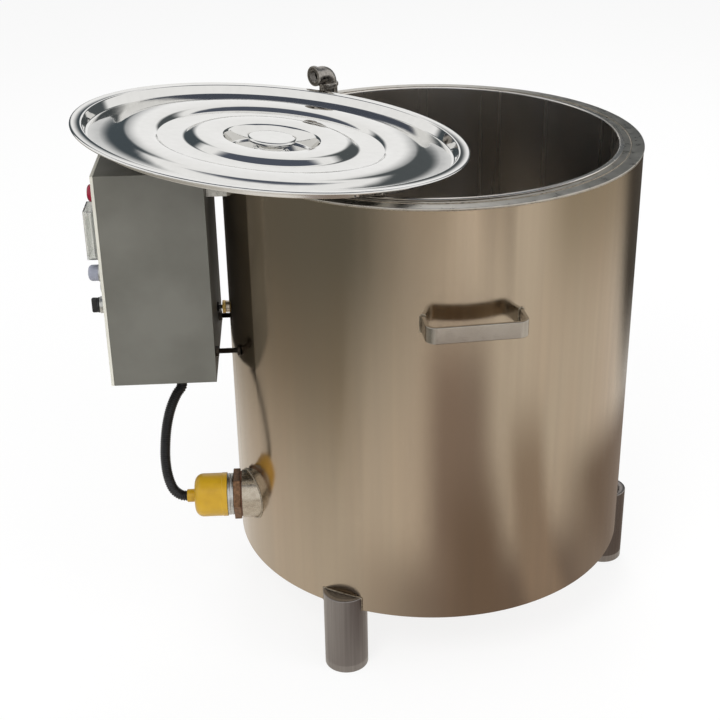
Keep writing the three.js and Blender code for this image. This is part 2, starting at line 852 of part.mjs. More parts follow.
// Lift-off hinges on the far side: the lower knuckle and pin stay on the box, the upper knuckle is the door's
function buildHinges() {
  const heights = { lower: hingeInset, upper: boxHeight - hingeInset };
  const axisX = -(boxMouth + hingeOut);
  const axisY = halfWidth + hingeSide;
  Object.entries(heights).forEach(([name, height]) => {
    const frame = frameAt(box, axisX, axisY, height);
    const half = gap / 2;
    const sideFace = -hingeSide + gap;
    const doorFace = -(doorFront - boxMouth - hingeOut) - gap;
    const bodyLeaf = join(
      disc(knuckleRadius, -knuckleLength, -half, smallSides),
      disc(hingePin, -knuckleLength, hingePinRise, smallSides),
      block(
        [0, leafWidth],
        [sideFace, sideFace + leafThickness],
        [-leafTall + knuckleLength, -half],
      ),
      block(
        [knuckleRadius + gap, leafWidth],
        [sideFace, sideFace + leafThickness],
        middle(leafTall / 2),
      ),
    );
    add(frame, `hinge_${name}_body_leaf`, bodyLeaf, zincSteel);
    const bore = disc(hingePin + gap, -overrun, knuckleLength + overrun, smallSides);
    const doorLeaf = cut(
      join(
        disc(knuckleRadius, half, knuckleLength, smallSides),
        block([doorFace - leafThickness, doorFace], [-hingeSide - leafWidth, 0], [half, knuckleLength]),
      ),
      bore,
    );
    add(frame, `hinge_${name}_door_leaf`, doorLeaf, zincSteel);
  });
}

// Quarter-turn lock, shown unlatched: the cam lies upright until it is turned behind the box's return
function buildLock() {
  const frame = frameAt(box, 0, lockSide, lockHeight, outward);
  const bore = lockPlug + gap;
  const face = doorFront + gap + lockFlangeThickness;
  const camHigh = boxMouth - boxWall - camClearance;
  const camLow = camHigh - camThickness;
  const body = join(
    ring(bore, lockFlange, doorFront + gap, face, smallSides),
    ring(bore, lockRadius, camHigh + gap, face - lockFlangeThickness / 2, smallSides),
  );
  add(frame, 'door_lock_body', body, zincSteel);
  const slot = block(middle(lockPlug / 2), middle(gap), [face - lockFlangeThickness / 2, face + overrun]);
  const turning = cut(
    join(
      disc(lockPlug, camLow, face, smallSides),
      block([-camHalfWidth, camLength], middle(camHalfWidth), [camLow, camHigh]),
    ),
    slot,
  );
  add(frame, 'door_lock_cam', turning, zincSteel);
}

// Panel devices stand on the door's face, local z outward from it
function deviceFrame(height) {
  return frameAt(box, -doorFront, deviceSide, height, outward);
}

function buildLamp() {
  const frame = deviceFrame(lampHeight);
  const body = cut(
    join(
      disc(collarOuter, gap, lampBezel, smallSides),
      disc(deviceBody, -lampTail, lampBezel / 2, smallSides),
    ),
    disc(lensRadius + gap, lampBezel - lensSeat, lampBezel + overrun, smallSides),
  );
  add(frame, 'pilot_lamp_body', body, zincSteel);
  const foot = lampBezel - lensSeat + gap;
  const dome = arc(lensRadius / 2, lensRise - lensRadius / 2, lensRadius / 2, 0, 90);
  const lens = turned([[0, foot], [lensRadius, foot], ...dome, [0, lensRise]], smallSides);
  add(frame, 'pilot_lens', lens, redLens);
}

function buildButton() {
  const frame = deviceFrame(buttonHeight);
  const well = buttonCapRadius + gap;
  const wellFloor = buttonCollar - buttonWell;
  const tailRadius = deviceBody;
  const stem = tailRadius / 2;
  const body = cut(
    join(
      disc(collarOuter, gap, buttonCollar, smallSides),
      disc(tailRadius, -buttonTail, gap + buttonCollar / 2, smallSides),
    ),
    disc(well, gap + gap, buttonCollar + overrun, smallSides),
    disc(stem + gap, wellFloor - buttonSkirt, buttonCollar, smallSides),
  );
  add(frame, 'push_button_body', body, zincSteel);
  const dome = arc(buttonCapRadius - buttonDome, buttonRise - buttonDome, buttonDome, 0, 90);
  const foot = buttonCollar - buttonSkirt + buttonSkirt / 2;
  const cap = join(
    turned([[0, foot], [buttonCapRadius, foot], ...dome, [0, buttonRise]], smallSides),
    disc(stem, wellFloor, buttonCollar, smallSides),
  );
  add(frame, 'push_button_cap', cap, greyPlastic);
}

function buildSelector() {
  const frame = deviceFrame(selectorHeight);
  const pivot = deviceBody / 2;
  const body = cut(
    join(
      disc(collarOuter, gap, selectorCollar, smallSides),
      disc(selectorRingRadius, selectorCollar / 2, selectorRing, smallSides),
      disc(deviceBody, -selectorTail, selectorCollar, smallSides),
    ),
    disc(pivot + gap, selectorCollar - gap, selectorRing + overrun, smallSides),
  );
  add(frame, 'selector_body', body, zincSteel);
  const foot = selectorRing + gap;
  const knob = join(
    disc(knobRadius, foot, foot + knobBase, smallSides),
    disc(pivot, selectorCollar, foot + knobBase / 2, smallSides),
    block(middle(knobRadius - gap), middle(knobGrip / 2), [foot + knobBase / 2, knobRise]),
  );
  add(frame, 'selector_knob', knob, blackPlastic);
}

function buildController() {
  const frame = deviceFrame(controllerHeight);
  const wide = bezelWidth / 2;
  const tall = bezelTall / 2;
  const baseWide = wide + basePlateMargin;
  const baseTall = tall + basePlateMargin;
  const keyX = [-keyBelow - keyTall / 2, -keyBelow + keyTall / 2];
  const keySides = [];
  for (let index = 0; index < keyCount; index += 1) {
    keySides.push((index - (keyCount - 1) / 2) * keyPitch);
  }
  const lugFrom = barrelLength / 2 + gap;
  const lugTo = lugFrom + lugThickness;
  const plateTop = gap + basePlate;
  const lying = (geometry) => geometry.rotateY(Math.PI / 2).translate(0, barrelSide, barrelHeight);
  const body = cut(
    join(
      block(middle(tall), middle(wide), [gap, bezelRise]),
      block(middle(tall - bezelLap), middle(wide - bezelLap), [-casingTail, bezelRise / 2]),
      block(middle(baseTall), [-baseWide, lugFar], [gap, plateTop]),
      block([lugFrom, lugTo], [lugNear, lugFar], [plateTop - basePlate / 2, lugHigh]),
      block([-lugTo, -lugFrom], [lugNear, lugFar], [plateTop - basePlate / 2, lugHigh]),
    ),
    ...keySides.map((side) => block(
      [keyX[0] - gap, keyX[1] + gap],
      [side - keyWidth / 2 - gap, side + keyWidth / 2 + gap],
      [bezelRise - keyWell, bezelRise + overrun],
    )),
    lying(disc(barrelPin + gap, -baseTall, baseTall, smallSides)),
  );
  add(frame, 'controller_body', body, blackPlastic);
  keySides.forEach((side, index) => {
    const width = [side - keyWidth / 2, side + keyWidth / 2];
    const key = block(keyX, width, [bezelRise - keyDepth, bezelRise + keyRise]);
    add(frame, `controller_key_${index + 1}`, key, greyPlastic);
  });

  const innerWide = hoodHalfWidth - hoodWall;
  const innerTall = hoodHalfTall - hoodWall;
  const foot = plateTop + gap;
  const barrelHalf = barrelLength / 2;
  const cover = join(
    cut(
      block(middle(hoodHalfTall), middle(hoodHalfWidth), [foot, hoodRise]),
      block(middle(innerTall), middle(innerWide), [foot - overrun, hoodRise - hoodWall]),
    ),
    lying(disc(barrelRadius, -barrelHalf, barrelHalf, smallSides)),
    lying(disc(barrelPin, -barrelHalf - barrelPinEnd, barrelHalf + barrelPinEnd, smallSides)),
    block(
      middle(barrelHalf),
      [hoodHalfWidth - hoodWall / 2, barrelSide],
      [barrelHeight - barrelWeb, barrelHeight + barrelWeb],
    ),
  );
  add(frame, 'controller_cover', cover, clearPlastic);
}

// Gear on the mounting plate
function buildInside() {
  const plateFront = plateBack + plateThickness;
  const spacerFrom = boxWall + gap;
  const corners = [];
  middle(plateHalfWidth - spacerInset).forEach((side) => {
    [plateFrom + spacerInset, plateTo - spacerInset].forEach((height) => corners.push([side, height]));
  });
  const spacers = corners.map(([side, height]) => {
    return outwardHole(spacerRadius, spacerFrom, plateFront, side, height);
  });
  const sheet = block([-plateFront, -plateBack], middle(plateHalfWidth), [plateFrom, plateTo]);
  add(box, 'mounting_plate', join(sheet, ...spacers), zincSteel);

  const crown = railCrown / 2;
  const wide = railWide / 2;
  const back = plateFront + gap;
  const front = back + railDeep;
  const outline = [
    [-wide, front - railSheet], [-crown + railSheet, front - railSheet],
    [-crown + railSheet, back + railSheet], [crown - railSheet, back + railSheet],
    [crown - railSheet, front - railSheet], [wide, front - railSheet],
    [wide, front], [crown - 2 * railSheet, front], [crown - 2 * railSheet, back + 2 * railSheet],
    [-crown + 2 * railSheet, back + 2 * railSheet], [-crown + 2 * railSheet, front], [-wide, front],
  ];
  const flat = outline.map(([across, out]) => [across, out - railSheet]);
  const rail = slab(flat, -railHalfLength, railHalfLength);
  const standing = rail.rotateX(Math.PI / 2).rotateY(outward.y);
  add(box, 'din_rail', standing.translate(0, 0, railHeight), zincSteel);

  const gearBack = front - railSheet + gap;
  buildContactor(gearBack);
  buildBreaker(gearBack);
  buildTerminals(plateFront + gap);
}

function buildContactor(back) {
  const front = back + contactorDeep;
  const tall = contactorTall / 2;
  const wide = [contactorFrom, contactorTo];
  const whole = [railHeight - tall, railHeight + tall];
  const nose = [railHeight - tall + contactorShoulder, railHeight + tall - contactorShoulder];
  const body = join(
    block([-front + contactorShoulder, -back], wide, whole),
    block([-front, -back], wide, nose),
  );
  add(box, 'contactor', body, blackPlastic);
}

function buildBreaker(back) {
  const front = back + breakerDeep;
  const nose = front + breakerNoseDeep;
  const tall = breakerTall / 2;
  const wide = [breakerFrom, breakerTo];
  const centre = (breakerFrom + breakerTo) / 2;
  const half = toggleWidth / 2;
  const across = (geometry) => geometry.rotateX(Math.PI / 2).translate(-nose, centre, railHeight);
  const body = cut(
    join(
      block([-front, -back], wide, [railHeight - tall, railHeight + tall]),
      block([-nose, -back], wide, [railHeight - breakerNose / 2, railHeight + breakerNose / 2]),
    ),
    across(disc(toggleRadius + toggleSlack, -half - gap, half + gap, smallSides)),
  );
  add(box, 'breaker', body, whitePlastic);
  const lean = THREE.MathUtils.degToRad(toggleLean);
  const lever = block([-toggleLever, 0], middle(half), middle(toggleThickness / 2)).rotateY(lean);
  const toggle = join(
    across(disc(toggleRadius, -half, half, smallSides)),
    lever.translate(-nose, centre, railHeight),
  );
  add(box, 'breaker_toggle', toggle, blackPlastic);
}

function buildTerminals(back) {
  const front = back + terminalDeep;
  const pitch = 2 * terminalHalfLength / terminalCount;
  const deep = [-front - overrun, -front + terminalGroove];
  const tall = [terminalFrom - overrun, terminalTo + overrun];
  const grooves = [];
  for (let way = 0; way < terminalCount; way += 1) {
    const centre = -terminalHalfLength + (way + 1 / 2) * pitch;
    const wide = [centre - terminalGrooveWide / 2, centre + terminalGrooveWide / 2];
    grooves.push(block(deep, wide, tall));
  }
  const body = block([-front, -back], middle(terminalHalfLength), [terminalFrom, terminalTo]);
  add(box, 'terminal_block', cut(body, ...grooves), blackPlastic);
}

// Cable entries hang under the box
const entryEnd = -gap - entryLength;
const hoseTop = entryEnd + 2 * hoseRadius - gap;

function buildEntries() {
  const conduitFrame = frameAt(box, -entryOut, conduitEntrySide, 0);
  const seat = hoseTop + gap;
  const sleeve = hoseRadius + gap;
  const neckTop = boxWall + entryNeckLength;
  const profile = [
    [sleeve, entryEnd], [entryRadius, entryEnd], [entryRadius, -gap], [entryNeck, -gap], [entryNeck, neckTop],
    [entryPassage, neckTop], [entryPassage, seat], [sleeve, seat], [sleeve, entryEnd],
  ];
  add(conduitFrame, 'conduit_gland', turned(profile, smallSides), blackPlastic);

  const mainsFrame = frameAt(box, -entryOut, mainsEntrySide, 0);
  const inlet = join(
    ring(mainsPassage, entryRadius, entryEnd, -gap, smallSides),
    ring(mainsPassage, entryNeck, -gap - boxWall, neckTop, smallSides),
  );
  add(mainsFrame, 'mains_gland', inlet, blackPlastic);
}

// Ribbed hose: each rib is a crest ring and a root ring along the route
function hoseRoute() {
  const entryX = -boxBack - entryOut;
  const top = boxBottom + hoseTop;
  const mouth = boxBottom + entryEnd;
  return [
    [entryX, conduitEntrySide, top],
    [entryX, conduitEntrySide, mouth],
    ...hoseMiddle,
    [-neckFace, heaterSide, heaterHeight],
    [-hoseSeat, heaterSide, heaterHeight],
  ];
}

function buildHose() {
  const points = hoseRoute().map((point) => new THREE.Vector3(...point));
  const route = new THREE.CatmullRomCurve3(points, false, 'centripetal');
  const stations = 2 * hoseRibCount;
  const frames = route.computeFrenetFrames(stations, false);
  const vertices = [];
  const faces = [];
  const ringAt = (station, radius) => {
    const centre = route.getPointAt(station / stations);
    const start = vertices.length / 3;
    for (let side = 0; side < hoseSides; side += 1) {
      const angle = 2 * Math.PI * side / hoseSides;
      const point = centre.clone();
      point.addScaledVector(frames.normals[station], radius * Math.cos(angle));
      point.addScaledVector(frames.binormals[station], radius * Math.sin(angle));
      vertices.push(point.x, point.y, point.z);
    }
    return start;
  };
  const bridge = (from, to) => {
    for (let side = 0; side < hoseSides; side += 1) {
      const next = (side + 1) % hoseSides;
      faces.push(from + side, from + next, to + next, from + side, to + next, to + side);
    }
  };
  const rings = [];
  for (let station = 0; station <= stations; station += 1) {
    rings.push(ringAt(station, station % 2 ? hoseRadius : hoseRoot));
  }
  const boreStep = 2 * ribCountPerBoreRing;
  for (let station = stations; station > 0; station -= boreStep) rings.push(ringAt(station, hoseBore));
  rings.push(ringAt(0, hoseBore));
  rings.forEach((from, index) => bridge(from, rings[(index + 1) % rings.length]));
  const hose = new THREE.BufferGeometry();
  hose.setAttribute('position', new THREE.Float32BufferAttribute(vertices, 3));
  hose.setIndex(faces);
  add(machine, 'conduit_hose', hose, blackPlastic);
}

// Upper face of the pressed sheet, from the edge to the middle
function lidUpperFace() {
  const rise = lidFlangeRise;
  const raised = ([start, crest, end, foot], before, after) => [
    [start * lidRadius, before],
    [crest * lidRadius, ringHeight],
    [end * lidRadius, ringHeight],
    [foot * lidRadius, after],
  ];
  return [
    [lidRadius, -lidEdgeDrop],
    [lidRadius, 0],
    [lidRadius - rise, rise],
    [flangeInner + rise, rise],
    [flangeInner, 0],
    [plugRadius, lowFloor],
    ...raised(outerRingShares, lowFloor, lowFloor),
    ...raised(innerRingShares, lowFloor, recessFloor),
    [lidBore, recessFloor],
  ];
}
const footIndex = 5;           // the plug's foot among those points

// The same line moved to the sheet's other face, with mitred corners
function parallelLine(points, distance) {
  const normalTo = (from, to) => {
    const length = Math.hypot(to[0] - from[0], to[1] - from[1]);
    return [(from[1] - to[1]) / length, (to[0] - from[0]) / length];
  };
  return points.map((point, index) => {
    const before = index > 0 ? normalTo(points[index - 1], point) : normalTo(point, points[1]);
    const after = index < points.length - 1 ? normalTo(point, points[index + 1]) : before;
    const spread = 1 + before[0] * after[0] + before[1] * after[1];
    return point.map((value, axis) => value + distance * (before[axis] + after[axis]) / spread);
  });
}

// The lid lies askew: its recess rests on the near wall's lip and its plug's foot on two points of the lip
function lidPose(underFace) {
  const [footRadius, footLevel] = underFace[footIndex];
  const recessLevel = underFace.at(-1)[1];
  const crossing = (lidOffset ** 2 + potRadius ** 2 - footRadius ** 2) / (2 * lidOffset);
  const tilt = Math.asin((footLevel - recessLevel) / (potRadius - crossing));
  const along = (potRadius - lidOffset + recessLevel * Math.sin(tilt)) / Math.cos(tilt);
  const lipTop = rimHeight + gap + lipThickness;
  const height = lipTop + lidClearance - along * Math.sin(tilt) - recessLevel * Math.cos(tilt);
  return { tilt, height };
}

function buildLid() {
  const upper = lidUpperFace();
  const under = parallelLine(upper, lidSheet);
  const { tilt, height } = lidPose(under);
  const [x, y] = onCircle(lidOffset, lidAngle);
  const heading = frameAt(machine, x, y, height, { z: THREE.MathUtils.degToRad(lidAngle) });
  const lid = frameAt(heading, 0, 0, 0, { x: -tilt });
  const sheet = [...upper, ...under.reverse(), upper[0]];
  add(lid, 'lid_shell', turned(sheet, roundSides), polishedSteel);

  const foot = recessFloor + gap;
  const knob = [
    [0, foot + screwDepth],
    [screwRadius + gap, foot + screwDepth],
    [screwRadius + gap, foot],
    [lidKnobFoot, foot],
    [lidKnobFoot, foot + lidKnobFootHeight],
    [lidKnobWaist, foot + 2 * lidKnobFootHeight],
    [lidKnobRadius - lidKnobFootHeight, lidKnobTop - lidKnobRimHeight],
    [lidKnobRadius, lidKnobTop - lidKnobRimHeight / 2],
    [lidKnobRadius, lidKnobTop - gap],
    [lidKnobRadius - gap, lidKnobTop],
    [0, lidKnobTop],
  ];
  add(lid, 'lid_knob', turned(knob, tubeSides), polishedSteel);

  const seat = recessFloor - lidSheet - gap;
  const screw = join(
    disc(screwRadius, seat - washerThickness, foot + screwDepth - gap, smallSides),
    disc(washerRadius, seat - washerThickness, seat, smallSides),
    disc(screwHead, seat - washerThickness - screwHeadThickness, seat - washerThickness / 2, smallSides),
  );
  add(lid, 'lid_knob_screw', screw, zincSteel);
}

buildTank();
buildPot();
buildLegs();
buildHandles();
buildHeater();
buildFiller();
buildProbe();
buildCarriers();
buildBox();
buildDoor();
buildHinges();
buildLock();
buildLamp();
buildButton();
buildSelector();
buildController();
buildInside();
buildEntries();
buildHose();
buildLid();

// The origin stands on the floor under the middle of the whole
const bounds = new THREE.Box3().setFromObject(machine, true);
const centre = bounds.getCenter(new THREE.Vector3());
machine.position.set(-centre.x, -centre.y, 0);

export default machine;
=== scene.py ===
"""A heated double-walled wax melting tank, dressed for its render. Metres, +Z up."""

import json
import math

import bpy
from mathutils import Matrix, Vector


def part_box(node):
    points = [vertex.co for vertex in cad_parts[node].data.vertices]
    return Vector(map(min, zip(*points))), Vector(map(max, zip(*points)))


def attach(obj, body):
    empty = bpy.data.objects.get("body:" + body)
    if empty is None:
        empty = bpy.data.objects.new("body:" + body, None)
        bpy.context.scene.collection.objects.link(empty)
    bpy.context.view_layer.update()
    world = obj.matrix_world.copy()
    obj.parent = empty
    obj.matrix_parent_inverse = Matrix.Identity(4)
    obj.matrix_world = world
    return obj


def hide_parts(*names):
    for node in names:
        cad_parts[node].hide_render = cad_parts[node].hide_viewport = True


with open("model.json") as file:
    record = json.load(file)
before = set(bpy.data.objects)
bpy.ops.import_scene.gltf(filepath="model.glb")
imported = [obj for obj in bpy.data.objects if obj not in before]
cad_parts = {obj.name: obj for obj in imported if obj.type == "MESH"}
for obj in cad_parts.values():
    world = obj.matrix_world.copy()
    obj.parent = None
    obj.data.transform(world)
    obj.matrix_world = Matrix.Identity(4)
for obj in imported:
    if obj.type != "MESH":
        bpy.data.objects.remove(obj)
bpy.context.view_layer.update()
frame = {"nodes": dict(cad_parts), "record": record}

MM = 0.001
TURN = 2 * math.pi
QUARTER = math.pi / 2
record = frame["record"]
BODY_OF = {node: body for body, nodes in record["behaviour"]["bodies"].items() for node in nodes}

# Places read from the frame
shell_low, shell_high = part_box("outer_shell")
TANK = Vector(((shell_low.x + shell_high.x) / 2, (shell_low.y + shell_high.y) / 2, 0))
SHELL_RADIUS = (shell_high.x - shell_low.x) / 2
SHELL_BOTTOM = shell_low.z
SHELL_TOP = shell_high.z
RIM_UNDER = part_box("rim_ring")[0].z
RIM_HEIGHT = RIM_UNDER + 3 * MM
DOOR_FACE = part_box("box_door")[0].x

# Camera, solved from the photograph: its place from the tank's axis on the floor, and where it looks
CAMERA_FROM_TANK = Vector((-0.1938, -1.8756, 1.2858))
CAMERA_FORWARD = Vector((0.0421, 0.8983, -0.4374))
CAMERA_UP = Vector((0.0382, 0.4361, 0.8991))
CAMERA_LENS = 67.96

# Corrugated conduit: its route from the box to the heater, in millimetres from the tank's axis
HOSE_ROUTE = [
    (-374, -52, 399.4), (-374, -52, 383.7), (-376, -54, 366), (-383, -58, 357), (-392, -65, 340),
    (-399.5, -74, 316), (-403.5, -85, 290), (-404.5, -96, 262), (-401, -105, 238),
    (-394, -109.5, 221), (-384, -110.3, 212),
]
HOSE_RADIUS = 7.9 * MM
HOSE_ROOT = 6.7 * MM
HOSE_WALL = 0.9 * MM
HOSE_SEAT = 16 * MM  # how far it runs into the neck of the heater's cap
HOSE_RIBS = 75
HOSE_SIDES = 24
HOSE_CURVE_STEPS = 24
HOSE_RIB_SHARES = (0, 0.25, 1, 0.95)  # height of each ring across one rib

# Angles round the tank in degrees, from the front towards +X
LEG_ANGLES = {"leg_front": -30, "leg_right": 90, "leg_rear": 210}
HANDLE_ANGLES = {"handle_front": 5, "handle_rear": 185}
FILLER_ANGLE = -151.7
FILLER_OUT = 288 * MM
FILLER_TURN = -142  # the way its mouth looks

# Half the thickness of each weld bead
RIDGE_WELD = 0.9 * MM
RIM_EDGE_WELD = 0.5 * MM
LEG_TOP_WELD = 1.7 * MM
LEG_SIDE_WELD = 1.4 * MM
HANDLE_WELD = 1.2 * MM
SOCKET_WELD = 1.6 * MM
FILLER_WELD = 1.4 * MM
WELD_PITCH = 3 * MM
WELD_RIPPLES = ((0.14, 2.1), (0.08, 0.37))  # share of the thickness, and radians from point to point

# Sizes in millimetres that several pieces share
SHELL_WALL = 2
LEG_PIPE = 31.7
LEG_AXIS = 290  # tank's axis to a leg's
PORT_BORE = 29.8
SOCKET_RADIUS = 36
BOSS_RADIUS = 9
PORT_PLAY = 0.2
SEAM = 0.1 * MM  # between the shell and what is cut to fit it
PANEL_BEZEL = 14.5
PANEL_BARREL = 11
SWITCH_BARREL = [(0, -42), (9.5, -42), (PANEL_BARREL, -40), (PANEL_BARREL, 0.3), (PANEL_BEZEL, 0.3)]


# Small tools


def deselect():
    bpy.ops.object.select_all(action="DESELECT")


def activate(piece):
    deselect()
    piece.select_set(True)
    bpy.context.view_layer.objects.active = piece


def link(name, mesh):
    piece = bpy.data.objects.new(name, mesh)
    bpy.context.scene.collection.objects.link(piece)
    activate(piece)
    return piece


def apply_modifier(piece, kind, **settings):
    activate(piece)
    modifier = piece.modifiers.new(kind.lower(), kind)
    for setting, value in settings.items():
        setattr(modifier, setting, value)
    bpy.ops.object.modifier_apply(modifier=modifier.name)


def round_edges(piece, width, segments=3, angle=30):
    """Rounds the edges that are sharper than an angle, by a width in millimetres."""
    apply_modifier(
        piece, "BEVEL", width=width * MM, segments=segments, limit_method="ANGLE",
        angle_limit=math.radians(angle), harden_normals=False,
    )


def smooth(piece, angle=35):
    """Smooth shading up to an angle, in which broad faces keep their own direction."""
    activate(piece)
    bpy.ops.object.shade_smooth_by_angle(angle=math.radians(angle))
    apply_modifier(piece, "WEIGHTED_NORMAL", keep_sharp=True)


def merge_doubles():
    """Joins what touches in the mesh being edited, and turns its faces outwards."""
    bpy.ops.mesh.select_all(action="SELECT")
    bpy.ops.mesh.remove_doubles(threshold=0.01 * MM)
    bpy.ops.mesh.normals_make_consistent(inside=False)


def shift(x, y, z):
    """A move in millimetres."""
    return Matrix.Translation(Vector((x, y, z)) * MM)


def outward(x, y, z):
    """A frame on the box's door side: its Z runs along -X and its X runs up."""
    return Matrix.Translation((x, y, z)) @ Matrix.Rotation(-QUARTER, 4, "Y")


def around(degrees, radius=0.0, height=0.0):
    """A frame on the tank at an angle from the front towards +X, with its Y pointing inwards."""
    turn = Matrix.Rotation(math.radians(degrees), 4, "Z")
    return Matrix.Translation(TANK) @ turn @ Matrix.Translation((0, -radius, height))


def quarter_round(centre, radius, start=0, steps=8):
    """A quarter of a circle as outline points, from an angle in degrees."""
    turns = [math.radians(start + 90 * step / steps) for step in range(steps + 1)]
    return [(centre[0] + radius * math.cos(turn), centre[1] + radius * math.sin(turn)) for turn in turns]


def tube_outline(bore, outside, low, high):
    return [(bore, low), (outside, low), (outside, high), (bore, high), (bore, low)]


def chain(points):
    """A line of vertices through (radius, height) points, extruded one by one from a single vertex."""
    bpy.ops.mesh.primitive_plane_add(size=MM)
    piece = bpy.context.object
    bpy.ops.object.mode_set(mode="EDIT")
    bpy.ops.mesh.select_mode(type="VERT")
    bpy.ops.mesh.select_all(action="SELECT")
    bpy.ops.mesh.merge(type="CENTER")
    bpy.ops.transform.translate(value=(points[0][0], 0, points[0][1]))
    for (radius, height), (next_radius, next_height) in zip(points, points[1:]):
        step = (next_radius - radius, 0, next_height - height)
        bpy.ops.mesh.extrude_region_move(TRANSFORM_OT_translate={"value": step})
    return piece


def turned(name, outline, place=Matrix.Identity(4), sides=96, edge=0.0, segments=2):
    """An outline in millimetres spun round Z, its sharp rings rounded, then set in place."""
    deselect()
    piece = chain([(radius * MM, height * MM) for radius, height in outline])
    piece.name = name
    bpy.ops.mesh.select_all(action="SELECT")
    bpy.ops.mesh.spin(steps=sides, angle=TURN, center=(0, 0, 0), axis=(0, 0, 1))
    merge_doubles()
    bpy.ops.object.mode_set(mode="OBJECT")
    if edge:
        round_edges(piece, edge, segments)
    piece.data.transform(place)
    smooth(piece)
    return piece


def block(name, size, place, edge=0.5, segments=2):
    """A block from its size in millimetres and its middle, with rounded edges."""
    deselect()
    bpy.ops.mesh.primitive_cube_add(size=1, scale=[length * MM for length in size])
    piece = bpy.context.object
    piece.name = name
    bpy.ops.object.transform_apply(location=False, rotation=False, scale=True)
    if edge:
        round_edges(piece, edge, segments)
    piece.data.transform(place)
    smooth(piece)
    return piece


def ribs_round(place, count, size, out, along, edge=0.4):
    """Equal ribs round an axis, in millimetres: their size, and how far out and along it they stand."""
    ribs = []
    for index in range(count):
        turn = Matrix.Rotation(TURN * index / count, 4, "Z")
        ribs.append(block("rib", size, place @ turn @ shift(out, 0, along), edge))
    return ribs


def ease(node, material, width, segments=2, angle=50):
    """Shows a frame node by a copy of itself with its facets merged and its edges rounded."""
    piece = link(f"{node}_finished", frame["nodes"][node].data.copy())
    piece.data.materials.clear()
    bpy.ops.object.mode_set(mode="EDIT")
    bpy.ops.mesh.select_all(action="SELECT")
    bpy.ops.mesh.remove_doubles(threshold=0.01 * MM)
    bpy.ops.mesh.dissolve_limited(angle_limit=math.radians(1))
    bpy.ops.object.mode_set(mode="OBJECT")
    round_edges(piece, width, segments, angle)
    smooth(piece)
    stand_for(piece, material, node)


def merged(name, pieces):
    """Several shapes made one piece."""
    deselect()
    for piece in pieces:
        piece.select_set(True)
    bpy.context.view_layer.objects.active = pieces[0]
    bpy.ops.object.join()
    pieces[0].name = name
    return pieces[0]


def cut_away(piece, cutter):
    apply_modifier(piece, "BOOLEAN", operation="DIFFERENCE", solver="EXACT", object=cutter)
    bpy.data.objects.remove(cutter, do_unlink=True)
    smooth(piece)


def rod(start, end, radius, sides):
    """A plain rod between two points, to cut with."""
    deselect()
    run = end - start
    bpy.ops.mesh.primitive_cylinder_add(vertices=sides, radius=radius, depth=run.length)
    cutter = bpy.context.object
    turn = run.to_track_quat("Z", "Y").to_matrix().to_4x4()
    cutter.data.transform(Matrix.Translation((start + end) / 2) @ turn)
    return cutter


def fit_to_shell(piece):
    """Cuts away what would stand inside the shell."""
    foot = TANK + Vector((0, 0, SHELL_BOTTOM - 1 * MM))
    cut_away(piece, rod(foot, TANK + Vector((0, 0, 1)), SHELL_RADIUS + SEAM, 256))


def bead(name, points, depth, closed=False):
    """A line of weld: a curve whose thickness swells and shrinks from point to point."""
    curve = bpy.data.curves.new(name, "CURVE")
    curve.dimensions = "3D"
    curve.bevel_depth = depth
    curve.bevel_resolution = 3
    curve.use_fill_caps = not closed
    line = curve.splines.new("POLY")
    line.points.add(len(points) - 1)
    line.use_cyclic_u = closed
    for index, (spot, point) in enumerate(zip(line.points, points)):
        spot.co = (*point, 1)
        spot.radius = 1 + sum(share * math.sin(turn * index) for share, turn in WELD_RIPPLES)
    piece = link(name, curve)
    bpy.ops.object.convert(target="MESH")
    smooth(piece, 60)
    return piece


def arc_points(radius, start, end, height, pitch=WELD_PITCH):
    """Points round the tank, between two angles in degrees."""
    count = max(3, int(abs(math.radians(end - start)) * radius / pitch))
    spread = [start + (end - start) * index / count for index in range(count + 1)]
    return [around(degrees, radius, height).translation for degrees in spread]


def paint(piece, material):
    piece.data.materials.clear()
    piece.data.materials.append(material)


def stand_for(piece, material, node):
    """The piece is shown in place of a frame node and moves with the node's body."""
    paint(piece, material)
    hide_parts(node)
    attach(piece, BODY_OF[node])


def detail(piece, material, node):
    """A piece of its own that moves with a frame node's body."""
    paint(piece, material)
    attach(piece, BODY_OF[node])


# Materials


def linear(code):
    """An sRGB hex colour as linear red, green, blue and alpha."""
    parts = [int(code[at : at + 2], 16) / 255 for at in (1, 3, 5)]
    parts = [part / 12.92 if part <= 0.04045 else ((part + 0.055) / 1.055) ** 2.4 for part in parts]
    return (*parts, 1)


def blank(name):
    material = bpy.data.materials.new(name)
    material.use_nodes = True
    material.node_tree.nodes.clear()
    return material


def add(owner, kind, settings=None, links=None):
    """Adds a node with its settings and its links, and returns its outputs."""
    node = owner.node_tree.nodes.new(kind)
    for key, value in (settings or {}).items():
        if isinstance(key, str) and hasattr(node, key):
            setattr(node, key, value)
        else:
            node.inputs[key].default_value = value
    for key, source in (links or {}).items():
        owner.node_tree.links.new(source, node.inputs[key])
    return node.outputs


